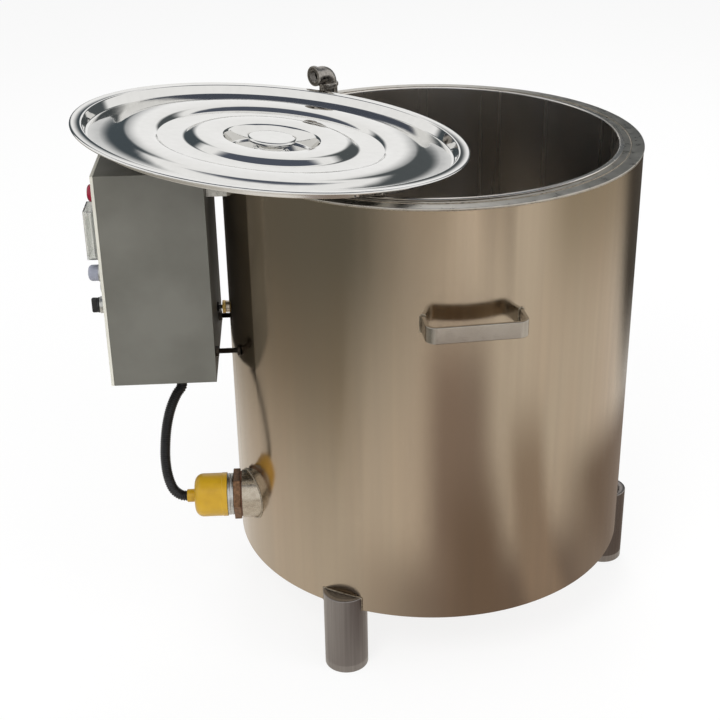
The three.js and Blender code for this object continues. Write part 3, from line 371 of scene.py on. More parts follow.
def rolled_stainless(name, base, warm, dull_and_painted_dark, rough, streak):
    """Cold-rolled stainless: a soft mirror with faint streaks along the roll and broad warm clouds.

    Real roll lines are too fine to show, so the streaks are drawn many times coarser; on the pot, wide and
    dark, they are painted reflections.
    """
    material = blank(name)
    place = add(material, "ShaderNodeTexCoord")["Object"]
    along = add(material, "ShaderNodeMapping", {"Scale": (1, 1, 0.015)}, {"Vector": place})[0]
    tall = add(material, "ShaderNodeMapping", {"Scale": (1, 1, 0.25)}, {"Vector": place})[0]
    settings = {"Scale": 1 / (streak * MM), "Detail": 4.0}
    streaks = add(material, "ShaderNodeTexNoise", settings, {"Vector": along})[0]
    settings = {"Scale": 1 / (110 * MM), "Detail": 2.0}
    clouds = add(material, "ShaderNodeTexNoise", settings, {"Vector": tall})[0]
    settings = {"From Min": 0.4, "From Max": 0.62}
    warmth = add(material, "ShaderNodeMapRange", settings, {"Value": clouds})[0]
    settings = {"data_type": "RGBA", 6: linear(base), 7: linear(warm)}
    tint = add(material, "ShaderNodeMix", settings, {0: warmth})[2]
    settings = {"From Min": 0.3, "From Max": 0.8, "To Max": 0.5}
    lines = add(material, "ShaderNodeMapRange", settings, {"Value": streaks})[0]
    settings = {"data_type": "RGBA", 7: linear(dull_and_painted_dark)}
    tone = add(material, "ShaderNodeMix", settings, {0: lines, 6: tint})[2]
    settings = {"From Min": 0.3, "From Max": 0.7, "To Min": rough - 0.03, "To Max": rough + 0.04}
    gloss = add(material, "ShaderNodeMapRange", settings, {"Value": streaks})[0]
    settings = {"Strength": 0.2, "Distance": 0.6 * MM}
    waves = add(material, "ShaderNodeBump", settings, {"Height": clouds})[0]
    links = {"Base Color": tone, "Roughness": gloss, "Normal": waves}
    shader = add(material, "ShaderNodeBsdfPrincipled", {"Metallic": 1.0}, links)
    add(material, "ShaderNodeOutputMaterial", None, {"Surface": shader[0]})
    return material


def two_tone(name, tones, change, patches, grain, relief, gloss, shine):
    """Two tones in soft patches, gloss that varies with them, and the relief of a grain.

    change holds the values of the patches between which the tones change. The others are settings:
    patches and grain of their noise, relief of the bump, gloss of the roughness, shine of the shader.
    With no grain the relief is that of the patches.
    """
    material = blank(name)
    place = add(material, "ShaderNodeTexCoord")["Object"]
    spread = add(material, "ShaderNodeTexNoise", patches, {"Vector": place})[0]
    fine = add(material, "ShaderNodeTexNoise", grain, {"Vector": place})[0] if grain else spread
    settings = {"From Min": change[0], "From Max": change[1]}
    share = add(material, "ShaderNodeMapRange", settings, {"Value": spread})[0]
    settings = {"data_type": "RGBA", 6: linear(tones[0]), 7: linear(tones[1])}
    tone = add(material, "ShaderNodeMix", settings, {0: share})[2]
    rough = add(material, "ShaderNodeMapRange", gloss, {"Value": spread})[0]
    skin = add(material, "ShaderNodeBump", relief, {"Height": fine})[0]
    shader = add(
        material, "ShaderNodeBsdfPrincipled", shine, {"Base Color": tone, "Roughness": rough, "Normal": skin}
    )
    add(material, "ShaderNodeOutputMaterial", None, {"Surface": shader[0]})
    return material


def buffed_stainless(name, base, hazy):
    """Pressed and buffed stainless: a clear mirror, faintly wavy from the press, with a wiped haze."""
    return two_tone(
        name, (base, hazy), (0, 1),
        patches={"Scale": 1 / (12 * MM), "Detail": 5.0},
        grain={"Scale": 1 / (60 * MM), "Detail": 2.0},
        relief={"Strength": 0.25, "Distance": 1.5 * MM},
        gloss={"From Min": 0.35, "From Max": 0.7, "To Min": 0.03, "To Max": 0.08},
        shine={"Metallic": 1.0},
    )


def worked_metal(name, dark, light, rough, size=4, relief=0.15):
    """Ground, cast, plated or welded metal: two mottled tones, uneven gloss and a slight relief."""
    return two_tone(
        name, (dark, light), (0.35, 0.65),
        patches={"Scale": 1 / (size * MM), "Detail": 4.0, "Roughness": 0.6},
        grain=None,
        relief={"Strength": relief, "Distance": 0.3 * MM},
        gloss={"From Min": 0.3, "From Max": 0.7, "To Min": rough - 0.05, "To Max": rough + 0.08},
        shine={"Metallic": 1.0},
    )


def powder_coat(name, colour, shade):
    """Powder-coated sheet steel: matt, with the orange peel of the baked coat and soft handling marks."""
    return two_tone(
        name, (colour, shade), (0.38, 0.66),
        patches={"Scale": 1 / (90 * MM), "Detail": 4.0},
        grain={"Scale": 1 / (1.8 * MM), "Detail": 2.0},
        relief={"Strength": 0.12, "Distance": 0.2 * MM},
        gloss={"From Min": 0.3, "From Max": 0.7, "To Min": 0.48, "To Max": 0.62},
        shine={"Specular IOR Level": 0.4},
    )


def moulded(name, colour, shade, rough=0.45, size=0.9, relief=0.1):
    """Moulded plastic, rubber or fibre: nearly even in colour, with the grain of its tool.

    Real mould grain is a tenth of a millimetre or so, and is drawn coarser here so that it shows.
    """
    return two_tone(
        name, (colour, shade), (0.35, 0.7),
        patches={"Scale": 1 / (25 * MM), "Detail": 3.0},
        grain={"Scale": 1 / (size * MM), "Detail": 2.0},
        relief={"Strength": relief, "Distance": 0.15 * MM},
        gloss={"To Min": rough - 0.04, "To Max": rough + 0.06},
        shine={"IOR": 1.5},
    )


def clear_moulding(name, colour, rough, clearness):
    """Clear or tinted acrylic and polycarbonate, slightly dulled by handling."""
    material = blank(name)
    place = add(material, "ShaderNodeTexCoord")["Object"]
    settings = {"Scale": 1 / (6 * MM), "Detail": 4.0}
    marks = add(material, "ShaderNodeTexNoise", settings, {"Vector": place})[0]
    settings = {"From Min": 0.4, "From Max": 0.7, "To Min": rough, "To Max": rough + 0.1}
    gloss = add(material, "ShaderNodeMapRange", settings, {"Value": marks})[0]
    settings = {"Base Color": linear(colour), "Transmission Weight": clearness, "IOR": 1.49}
    shader = add(material, "ShaderNodeBsdfPrincipled", settings, {"Roughness": gloss})
    add(material, "ShaderNodeOutputMaterial", None, {"Surface": shader[0]})
    return material


def lit_segment(name, colour, strength):
    """A lit segment of the controller's display."""
    material = blank(name)
    settings = {
        "Base Color": linear(colour), "Emission Color": linear(colour), "Emission Strength": strength,
        "Roughness": 0.4,
    }
    shader = add(material, "ShaderNodeBsdfPrincipled", settings)
    add(material, "ShaderNodeOutputMaterial", None, {"Surface": shader[0]})
    return material


# Sizes of streaks, mottle and grain are in millimetres

# A soft mirror, streaked along the roll, its brown cast a painted reflection of warm surroundings
TANK_STEEL_BROWN_PAINTED_REFLECTION = rolled_stainless("rolled_stainless_shell_brown_painted_reflection", "#b4a692", "#b6a590", "#aa9c8b", 0.15, 12)
# Nearly white, as painted light for the shaded inside, with broad upright stripes of painted reflection,
# which the pot's curve darkens
POT_STEEL_PAINTED_LIGHT_AND_REFLECTIONS = rolled_stainless("rolled_stainless_pot_painted_reflections", "#f1eeea", "#e6dfd5", "#8f877c", 0.25, 40)
# Dull grey pipe with fine draw lines
PIPE_STEEL = rolled_stainless("drawn_stainless_pipe", "#938e8b", "#8a837e", "#6a6461", 0.3, 3)
# Pale grey and nearly even, from the grinding disc
RIM_STEEL = worked_metal("ground_stainless_rim", "#b4afa6", "#c6c2ba", 0.3, 14, 0.03)
# White highlights against sharp dark reflections
LID_STEEL = buffed_stainless("buffed_stainless_lid", "#e6e5e2", "#dad9d6")
# Shiny and even, with a warm grey cast
BAR_STEEL = worked_metal("polished_flat_bar", "#a69f96", "#b2aca3", 0.16, 40, 0.02)
# Turned and warm grey, with a soft shine round its edge
SOCKET_STEEL = worked_metal("turned_stainless_socket", "#b0a595", "#c3b9a9", 0.24, 6, 0.06)
# Grey and slightly pitted, with small glints
FITTING_STEEL = worked_metal("cast_stainless_fitting", "#8d8882", "#b3aea7", 0.3, 3, 0.2)
# Mottled grey brown, broken up by its ripples
WELD_STEEL = worked_metal("brushed_weld", "#857b6e", "#b3a896", 0.3, 4, 0.2)
# Cool light grey with a faint spangle
ZINC_STEEL = worked_metal("zinc_plate", "#b3b4b1", "#cfcfcb", 0.3, 5, 0.05)
# Rusty brown, worn lighter in patches
BROWNED_STEEL = worked_metal("browned_steel_plug", "#5a4433", "#8a6a50", 0.34, 5, 0.2)
# Nearly black, with an oily sheen
BLACKED_STEEL = worked_metal("blacked_steel_stud", "#2a2622", "#463f38", 0.4, 3, 0.2)
# Yellow metal, bright where the tool ran
BRASS = worked_metal("turned_brass", "#9a7c42", "#c7a864", 0.28, 3, 0.08)
# The pale coat darkened to mid grey as painted shade, as the box's side stands in shade; flat, with a fine
# peel
BOX_PAINT_PAINTED_SHADE = powder_coat("powder_coat_painted_shade", "#696861", "#5f5e57")
# The same coat in a warm off-white
DOOR_PAINT = powder_coat("pale_powder_coat", "#d3d1c6", "#c6c4b9")
# Strong yellow with a soft gloss
YELLOW_PLASTIC = moulded("yellow_polypropylene", "#c39a20", "#b48c1b", 0.3)
# Black with a low satin shine
BLACK_PLASTIC = moulded("black_polyamide", "#1b1b1c", "#232324", 0.42)
# Deeper black, shiny enough to draw a line of light on each rib
HOSE_PLASTIC = moulded("black_conduit_polyamide", "#131314", "#1d1d1e", 0.36)
# Pale blue grey, satin
GREY_PLASTIC = moulded("blue_grey_abs", "#9b9eac", "#8e919f", 0.38)
# Light neutral grey, satin
BEZEL_PLASTIC = moulded("light_grey_abs", "#a9a9a4", "#9e9e99", 0.45)
# Milky off-white
WHITE_PLASTIC = moulded("off_white_polycarbonate", "#d6d5cf", "#c9c8c1", 0.45)
# Matt black with no highlight
BLACK_RUBBER = moulded("black_rubber", "#161616", "#202020", 0.7, 1.2, 0.2)
# Matt red brown board with a rough edge
BROWN_FIBRE = moulded("pressed_fibre", "#6d4a38", "#5c3d2e", 0.75, 0.8, 0.3)
# Deep red with depth behind a clear gloss
RED_LENS = clear_moulding("red_acrylic", "#a31238", 0.12, 0.35)
# Nearly invisible but for its edges and glints
CLEAR_PLASTIC = clear_moulding("clear_polycarbonate", "#eceeec", 0.04, 0.9)
# Black glass look, in which the lit digits stand out
DARK_WINDOW = moulded("smoked_window", "#0d0e10", "#121316", 0.12, 5, 0.0)
# Glowing red and green numbers
RED_DIGITS = lit_segment("red_digits", "#e2311f", 1.2)
GREEN_DIGITS = lit_segment("green_digits", "#3fbf5a", 0.9)


# Camera, then the one free cord


def place_camera():
    data = bpy.data.cameras.new("camera")
    data.lens = CAMERA_LENS
    camera = bpy.data.objects.new("camera", data)
    bpy.context.scene.collection.objects.link(camera)
    forward = CAMERA_FORWARD.normalized()
    right = forward.cross(CAMERA_UP).normalized()
    up = right.cross(forward)
    turn = Matrix((right, up, -forward)).transposed().to_4x4()
    camera.matrix_world = Matrix.Translation(TANK + CAMERA_FROM_TANK) @ turn
    bpy.context.scene.camera = camera


def centripetal(points, steps):
    """The smooth curve through the points that the conduit's solid follows."""
    ends = [2 * points[0] - points[1], *points, 2 * points[-1] - points[-2]]
    line = []
    for first, second, third, fourth in zip(ends, ends[1:], ends[2:], ends[3:]):
        before = (second - first).length ** 0.5
        along = (third - second).length ** 0.5
        after = (fourth - third).length ** 0.5
        leave = (second - first) / before - (third - first) / (before + along) + (third - second) / along
        reach = (third - second) / along - (fourth - second) / (along + after) + (fourth - third) / after
        leave *= along
        reach *= along
        for step in range(steps):
            t = step / steps
            line.append(
                second * (2 * t**3 - 3 * t**2 + 1) + leave * (t**3 - 2 * t**2 + t)
                + third * (3 * t**2 - 2 * t**3) + reach * (t**3 - t**2)
            )
    return [*line, points[-1]]


def evenly(line, count):
    """Points an equal way apart along a line, and the line's length."""
    lengths = [0.0]
    for start, end in zip(line, line[1:]):
        lengths.append(lengths[-1] + (end - start).length)
    places = []
    at = 0
    for index in range(count + 1):
        want = lengths[-1] * index / count
        while at < len(line) - 2 and lengths[at + 1] < want:
            at += 1
        share = (want - lengths[at]) / (lengths[at + 1] - lengths[at])
        places.append(line[at].lerp(line[at + 1], share))
    return places, lengths[-1]


def make_hose():
    """A ribbed skin swept along the route, then given its wall."""
    cap_low, cap_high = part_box("heater_cap")
    entry = Vector((cap_low.x, (cap_low.y + cap_high.y) / 2, (cap_low.z + cap_high.z) / 2))
    points = [TANK + Vector(point) * MM for point in HOSE_ROUTE]
    points += [entry, entry + Vector((HOSE_SEAT, 0, 0))]
    across = len(HOSE_RIB_SHARES)
    line, length = evenly(centripetal(points, HOSE_CURVE_STEPS), HOSE_RIBS * across)
    vertices = []
    side = Vector((0, 1, 0))
    for index, centre in enumerate(line):
        run = (line[min(index + 1, len(line) - 1)] - line[max(index - 1, 0)]).normalized()
        side = (side - side.dot(run) * run).normalized()
        other = run.cross(side)
        radius = HOSE_ROOT + (HOSE_RADIUS - HOSE_ROOT) * HOSE_RIB_SHARES[index % across]
        for step in range(HOSE_SIDES):
            angle = TURN * step / HOSE_SIDES
            vertices.append(centre + radius * (math.cos(angle) * side + math.sin(angle) * other))
    faces = []
    for ring in range(len(line) - 1):
        for step in range(HOSE_SIDES):
            here = ring * HOSE_SIDES + step
            there = ring * HOSE_SIDES + (step + 1) % HOSE_SIDES
            faces.append((here, there, there + HOSE_SIDES, here + HOSE_SIDES))
    mesh = bpy.data.meshes.new("corrugated_conduit")
    mesh.from_pydata(vertices, [], faces)
    hose = link("corrugated_conduit", mesh)
    bpy.ops.object.mode_set(mode="EDIT")
    merge_doubles()
    bpy.ops.object.mode_set(mode="OBJECT")
    apply_modifier(hose, "SOLIDIFY", thickness=HOSE_WALL, offset=-1)
    smooth(hose, 60)
    stand_for(hose, HOSE_PLASTIC, "conduit_hose")


# Tank


def make_shell():
    """The rolled sheet, with holes for the heater's socket and the probe's boss."""
    radius = SHELL_RADIUS / MM
    outline = tube_outline(radius - SHELL_WALL, radius, SHELL_BOTTOM / MM, SHELL_TOP / MM)
    shell = turned("tank_shell", outline, Matrix.Translation(TANK), 256, 0.4)
    before, through = Vector((20 * MM, 0, 0)), Vector((120 * MM, 0, 0))
    for node, port in (("heater_socket", SOCKET_RADIUS), ("probe_boss", BOSS_RADIUS)):
        low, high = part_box(node)
        start = Vector((low.x, (low.y + high.y) / 2, (low.z + high.z) / 2)) - before
        cut_away(shell, rod(start, start + through, (port + PORT_PLAY) * MM, 64))
    stand_for(shell, TANK_STEEL_BROWN_PAINTED_REFLECTION, "outer_shell")


def make_rim():
    """The ground ring between pot and shell, with the ridge left by its inner weld and a bead outside."""
    low, top = RIM_UNDER / MM, RIM_HEIGHT / MM
    bore, outside, bulge, ridge_radius = 268.4, 300.7, 0.2, 282.5 * MM
    outline = tube_outline(bore, outside, low, top)
    outline.insert(2, (outside + bulge, (low + top) / 2))
    rim = turned("rim_ring_finished", outline, Matrix.Translation(TANK), 256, 0.8, 3)
    stand_for(rim, RIM_STEEL, "rim_ring")
    ridge = arc_points(ridge_radius, 0, 360, RIM_HEIGHT, 3.2 * MM)[:-1]
    detail(bead("rim_weld", ridge, RIDGE_WELD, True), WELD_STEEL, "rim_ring")
    under = arc_points(SHELL_RADIUS, 0, 360, RIM_UNDER - 0.3 * MM)[:-1]
    detail(bead("rim_edge_weld", under, RIM_EDGE_WELD, True), WELD_STEEL, "rim_ring")


def make_pot():
    """The melting pot: a dished bottom, a round corner, a straight wall and a rolled lip."""
    low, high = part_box("inner_pot")
    radius, corner, dish, wall, lip, lip_depth = 266, 40, 10, 2, 272.9, 2.1
    top, bottom = high.z / MM, low.z / MM + wall
    centre = (radius - corner, bottom + dish + corner)
    inside = quarter_round(centre, corner, -90, 10)
    outside = quarter_round(centre, corner + wall, -90, 10)
    under = top - lip_depth
    rolled = [
        (radius + wall, under), (lip - 0.6, under), (lip, under + 0.6), (lip, top - 0.9),
        (lip - 1, top - 0.1), (lip - 2, top), (radius + 1.8, top), (radius + 0.7, top - 0.3),
        (radius, top - 1.2),
    ]
    outline = [(0, bottom - wall), *outside, *rolled, *reversed(inside), (0, bottom)]
    stand_for(turned("melting_pot", outline, Matrix.Translation(TANK), 256), POT_STEEL_PAINTED_LIGHT_AND_REFLECTIONS, "inner_pot")


def make_legs():
    """Pipes cut to the shell, with a bead over the top of each and down both its sides."""
    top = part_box("leg_front")[1].z
    sole_inset, chamfer, side_steps, weld_share = 3, 1, 8, 0.98
    sole, crown = LEG_PIPE - sole_inset, top / MM
    outline = [
        (0, 0), (sole, 0), (sole, chamfer), (LEG_PIPE, chamfer), (LEG_PIPE, crown - chamfer),
        (LEG_PIPE - chamfer, crown), (0, crown),
    ]
    half = math.degrees(math.asin(LEG_PIPE * MM / SHELL_RADIUS)) * weld_share
    for node, degrees in LEG_ANGLES.items():
        leg = turned(f"{node}_pipe", outline, around(degrees, LEG_AXIS * MM), 96, 0.7)
        fit_to_shell(leg)
        stand_for(leg, PIPE_STEEL, node)
        over = arc_points(SHELL_RADIUS, degrees - half, degrees + half, top - 1 * MM)
        detail(bead(f"{node}_top_weld", over, LEG_TOP_WELD), WELD_STEEL, node)
        for side, hand in ((-1, "left"), (1, "right")):
            rise = []
            for step in range(side_steps + 1):
                height = SHELL_BOTTOM + (top - SHELL_BOTTOM) * step / side_steps
                rise.append(around(degrees + side * half, SHELL_RADIUS, height).translation)
            detail(bead(f"{node}_{hand}_weld", rise, LEG_SIDE_WELD), WELD_STEEL, node)


def make_handle(node, degrees):
    """Flat bar bent twice: a section extruded out, swept round, along, round and back."""
    width, bar, thickness, reach, bend, root = 134 * MM, 22.8 * MM, 5 * MM, 36 * MM, 14 * MM, 12 * MM
    low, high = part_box(node)
    height = (low.z + high.z) / 2
    start = -SHELL_RADIUS + root
    face = -(SHELL_RADIUS + reach)
    deselect()
    bpy.ops.mesh.primitive_plane_add(size=1)
    handle = bpy.context.object
    handle.name = f"{node}_bar"
    handle.scale = (thickness, bar, 1)
    handle.rotation_euler = (QUARTER, 0, 0)
    handle.location = (-width / 2 + thickness / 2, start, 0)
    bpy.ops.object.transform_apply()
    bpy.ops.object.mode_set(mode="EDIT")
    bpy.ops.mesh.select_mode(type="FACE")
    bpy.ops.mesh.select_all(action="SELECT")
    straight = face + bend - start
    flat = width - 2 * bend
    bpy.ops.mesh.extrude_region_move(TRANSFORM_OT_translate={"value": (0, straight, 0)})
    bpy.ops.mesh.spin(steps=10, angle=-QUARTER, center=(-width / 2 + bend, face + bend, 0), axis=(0, 0, 1))
    bpy.ops.mesh.extrude_region_move(TRANSFORM_OT_translate={"value": (flat, 0, 0)})
    bpy.ops.mesh.spin(steps=10, angle=-QUARTER, center=(width / 2 - bend, face + bend, 0), axis=(0, 0, 1))
    bpy.ops.mesh.extrude_region_move(TRANSFORM_OT_translate={"value": (0, -straight, 0)})
    merge_doubles()
    bpy.ops.object.mode_set(mode="OBJECT")
    round_edges(handle, 1.1, 3, 50)
    handle.data.transform(around(degrees, 0, height))
    fit_to_shell(handle)
    stand_for(handle, BAR_STEEL, node)
    for side, hand in ((-1, "left"), (1, "right")):
        middle = degrees + side * math.degrees(math.asin((width - thickness) / 2 / SHELL_RADIUS))
        points = square_loop(middle, height, thickness / 2 + 1 * MM, bar / 2 + 0.8 * MM)
        detail(bead(f"{node}_{hand}_weld", points, HANDLE_WELD, True), WELD_STEEL, node)


def square_loop(middle, height, half_width, half_height, steps=32):
    """A loop on the shell round the end of a bar: a circle pushed out against four straight sides."""
    points = []
    push_aside, push_up = 1.3, 1.15
    for step in range(steps):
        angle = TURN * step / steps
        aside = half_width * max(-1, min(1, push_aside * math.sin(angle)))
        rise = half_height * max(-1, min(1, push_up * math.cos(angle)))
        turn = middle + math.degrees(aside / SHELL_RADIUS)
        points.append(around(turn, SHELL_RADIUS, height + rise).translation)
    return points


# Heater port


def port_frame(node):
    low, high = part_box(node)
    return outward(TANK.x, (low.y + high.y) / 2, (low.z + high.z) / 2)


def reach_of(node):
    """How far a port piece runs out from the tank's middle plane, in millimetres: near, far."""
    low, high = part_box(node)
    return (TANK.x - high.x) / MM, (TANK.x - low.x) / MM


def make_heater():
    """Socket, washer, plug, clamp ring and cap on one axis, and the bead round the socket."""
    place = port_frame("heater_socket")
    outline = tube_outline(PORT_BORE, SOCKET_RADIUS, *reach_of("heater_socket"))
    stand_for(turned("heater_socket_ring", outline, place, 96, 0.8), SOCKET_STEEL, "heater_socket")
    outline = tube_outline(PORT_BORE, 34, *reach_of("heater_gasket"))
    stand_for(turned("heater_washer", outline, place, 96, 0.3), BROWN_FIBRE, "heater_gasket")
    ease("heater_plug", BROWNED_STEEL, 1.2, 3)

    near, far = reach_of("heater_collar")
    bore, outside = 24, 31.5
    outline = [
        (bore, near), (outside - 0.3, near), (outside, near + 3), (outside - 0.9, near + 4.2),
        (outside, near + 5.4), (outside - 0.3, far), (bore, far), (bore, near),
    ]
    stand_for(turned("heater_clamp_ring", outline, place, 96, 0.5), ZINC_STEEL, "heater_collar")
    make_cap(place)

    ring = []
    weld_radius, steps = (SOCKET_RADIUS + 1) * MM, 140
    for step in range(steps):
        angle = TURN * step / steps
        spot = place @ Vector((weld_radius * math.cos(angle), weld_radius * math.sin(angle), 0))
        spot.x = TANK.x - math.sqrt(SHELL_RADIUS**2 - (spot.y - TANK.y) ** 2)
        ring.append(spot)
    detail(bead("heater_socket_weld", ring, SOCKET_WELD, True), WELD_STEEL, "heater_socket")


def make_cap(place):
    """The terminal cap: a skirt, ribbed sides, a round shoulder and a neck that takes the conduit."""
    near, far = reach_of("heater_cap")
    bore, skirt, outside, shoulder = 29.3, 32.9, 32.5, 13
    neck, neck_length, sleeve, throat = 9.8, 12, 8.3, 6
    front, seat, ceiling = far - neck_length, far - 16.3, far - neck_length - 7.5
    outline = [
        (bore, near), (skirt, near), (skirt, near + 7), (skirt - 0.7, near + 8),
        *quarter_round((outside - shoulder, front - shoulder), shoulder),
        (neck + 1.2, front), (neck, front + 1.5), (neck, far - 1), (neck - 0.6, far),
        (sleeve, far), (sleeve, seat), (throat, seat), (throat, ceiling),
        (bore - 9, ceiling), (bore, front - 16), (bore, near),
    ]
    stand_for(turned("heater_cap_shell", outline, place, 128, 0.3), YELLOW_PLASTIC, "heater_cap")
    ribs = ribs_round(place, count=12, size=(1.6, 3, 26), out=31.6, along=near + 21, edge=0.5)
    detail(merged("heater_cap_ribs", ribs), YELLOW_PLASTIC, "heater_cap")


# Filler


def make_filler():
    """A gripped coupling welded to the rim, with the elbow screwed into it."""
    centre = around(FILLER_ANGLE, FILLER_OUT).translation
    turn = Matrix.Rotation(math.radians(FILLER_TURN), 4, "Z")
    place = Matrix.Translation((centre.x, centre.y, RIM_HEIGHT)) @ turn
    bore, outside, waist, low, high = 9.5, 14.4, 13.6, 0.3, 14
    outline = [
        (bore, low), (outside, low), (outside, 3), (waist, 3.6), (waist, 12), (outside, 12.6),
        (outside, high), (bore, high), (bore, low),
    ]
    coupling = turned("coupling", outline, place, 64, 0.3)
    grips = ribs_round(place, count=16, size=(1.2, 1.8, 9), out=13.8, along=7.8)
    stand_for(merged("filler_coupling", [coupling, *grips]), FITTING_STEEL, "fill_nipple")
    make_elbow(place)
    weld_radius, weld_height, steps = 15, 0.8, 60
    ring = []
    for step in range(steps):
        angle = TURN * step / steps
        spot = Vector((weld_radius * math.cos(angle), weld_radius * math.sin(angle), weld_height))
        ring.append(place @ (spot * MM))
    detail(bead("filler_weld", ring, FILLER_WELD, True), WELD_STEEL, "fill_nipple")


def make_elbow(place):
    """A ring of pipe drawn up, swept through a right angle and out to the mouth, with a bead at each end."""
    foot_height, rise, run, bend = 14.6 * MM, 34 * MM, 30 * MM, 14 * MM
    pipe, wall = 13.2 * MM, 3.6 * MM
    deselect()
    bpy.ops.mesh.primitive_circle_add(vertices=48, radius=pipe, fill_type="NOTHING")
    elbow = bpy.context.object
    elbow.name = "elbow"
    bpy.ops.object.mode_set(mode="EDIT")
    bpy.ops.mesh.select_mode(type="EDGE")
    bpy.ops.mesh.select_all(action="SELECT")
    bpy.ops.transform.translate(value=(0, 0, foot_height))
    upright = rise - bend - foot_height
    bpy.ops.mesh.extrude_region_move(TRANSFORM_OT_translate={"value": (0, 0, upright)})
    bpy.ops.mesh.spin(steps=12, angle=-QUARTER, center=(bend, 0, rise - bend), axis=(0, 1, 0))
    bpy.ops.mesh.extrude_region_move(TRANSFORM_OT_translate={"value": (run - bend, 0, 0)})
    merge_doubles()
    bpy.ops.object.mode_set(mode="OBJECT")
    apply_modifier(elbow, "SOLIDIFY", thickness=wall, offset=-1)
    elbow.data.transform(place)
    smooth(elbow)

    bore, outside, length = 10, 15.9, 6
    collar = [
        (bore, 0), (outside - 0.7, 0), (outside, 1.2), (outside, length - 1.2), (outside - 0.7, length),
        (bore, length), (bore, 0),
    ]
    foot = turned("foot", collar, place @ shift(0, 0, 14.4), 64, 0.4)
    level = Matrix.Translation((run, 0, rise)) @ Matrix.Rotation(QUARTER, 4, "Y")
    mouth = turned("mouth", collar, place @ level @ shift(0, 0, -length), 64, 0.4)
    thread = [(9.9, -0.7), (9.1, 0), (9.9, 0.7), (9.9, -0.7)]
    first, pitch, turns = 1.5, 1.8, 6
    threads = []
    for index in range(turns):
        at = place @ level @ shift(0, 0, -first - pitch * index)
        threads.append(turned("thread", thread, at, 48))
    stand_for(merged("filler_elbow", [elbow, foot, mouth, *threads]), FITTING_STEEL, "fill_elbow")


# Probe


def make_probe():
    """Boss, brass probe, its lead, and the grommet that leads it into the box."""
    place = port_frame("probe_boss")
    outline = tube_outline(6.3, BOSS_RADIUS, *reach_of("probe_boss"))
    stand_for(turned("probe_boss_ring", outline, place, 64, 0.4), SOCKET_STEEL, "probe_boss")
    ease("temperature_probe", BRASS, 0.5)
    near, far = reach_of("probe_cable")
    outline = [(0, near), (3, near), (3, far), (0, far)]
    stand_for(turned("probe_lead", outline, place, 48, 0.3), BLACK_PLASTIC, "probe_cable")
    near, far = reach_of("probe_grommet")
    bore, waist, flange = 3.3, 5, 7.5
    outline = [
        (bore, near), (flange - 1.1, near), (flange, near + 0.9), (flange, near + 2),
        (waist, near + 2), (waist, far - 2), (flange, far - 2), (flange, far - 0.9),
        (flange - 1.1, far), (bore, far), (bore, near),
    ]
    stand_for(turned("probe_grommet_ring", outline, place, 48, 0.25), BLACK_RUBBER, "probe_grommet")


# What carries the box


def make_carriers():
    """Two threaded studs with their nuts, and the hanger at the top of the box."""
    boss, boss_proud, root, crest, pitch = 8, 3, 3.45, 3.95, 1.4
    for side in ("near", "far"):
        node = f"mount_stud_{side}"
        near, far = reach_of(node)
        low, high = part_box(node)
        aside = abs((low.y + high.y) / 2 - TANK.y)
        wall = math.sqrt(SHELL_RADIUS**2 - aside**2) / MM
        shoulder = wall + boss_proud
        outline = [(0, wall - 1), (boss, wall - 1), (boss, shoulder), (4, shoulder)]
        at = shoulder + 0.4
        while at < far - pitch:
            outline += [(root, at), (crest, at + pitch / 2)]
            at += pitch
        outline += [(3.4, far - 0.4), (2.8, far), (0, far)]
        stud = turned(f"{node}_rod", outline, port_frame(node), 32)
        fit_to_shell(stud)
        stand_for(stud, BLACKED_STEEL, node)
        for end in ("outer", "inner"):
            nut = f"stud_nut_{side}_{end}"
            ease(nut, BLACKED_STEEL, 0.5)
    ease("hanger_bracket", ZINC_STEEL, 0.5, 2, 40)


# Control box


def make_box():
    # The body wears the pale coat darkened to mid grey as painted shade
    ease("box_body", BOX_PAINT_PAINTED_SHADE, 1.1, 3, 40)
    ease("box_door", DOOR_PAINT, 1.3, 3, 40)
    ease("door_gasket", BLACK_RUBBER, 0.6, 2, 40)
    for height in ("lower", "upper"):
        for part in ("body", "door"):
            node = f"hinge_{height}_{part}_leaf"
            ease(node, ZINC_STEEL, 0.35)
    make_lock()
    make_lamp()
    make_button()
    make_selector()
    make_controller()


def door_device(node):
    """The frame of a device on the door's face, its Z running out of the door."""
    low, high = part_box(node)
    return outward(DOOR_FACE, (low.y + high.y) / 2, (low.z + high.z) / 2)


def make_lock():
    place = door_device("door_lock_body")
    depth = (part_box("door_lock_body")[1].x - DOOR_FACE) / MM
    bore, barrel, flange = 5.3, 9, 11
    outline = [
        (bore, -depth), (barrel, -depth), (barrel, 0.3), (flange, 0.3), (flange, 1.4), (flange - 0.8, 2.3),
        (bore + 0.3, 2.3), (bore, 2), (bore, -depth),
    ]
    stand_for(turned("lock_barrel", outline, place, 64, 0.2), ZINC_STEEL, "door_lock_body")
    ease("door_lock_cam", ZINC_STEEL, 0.3)


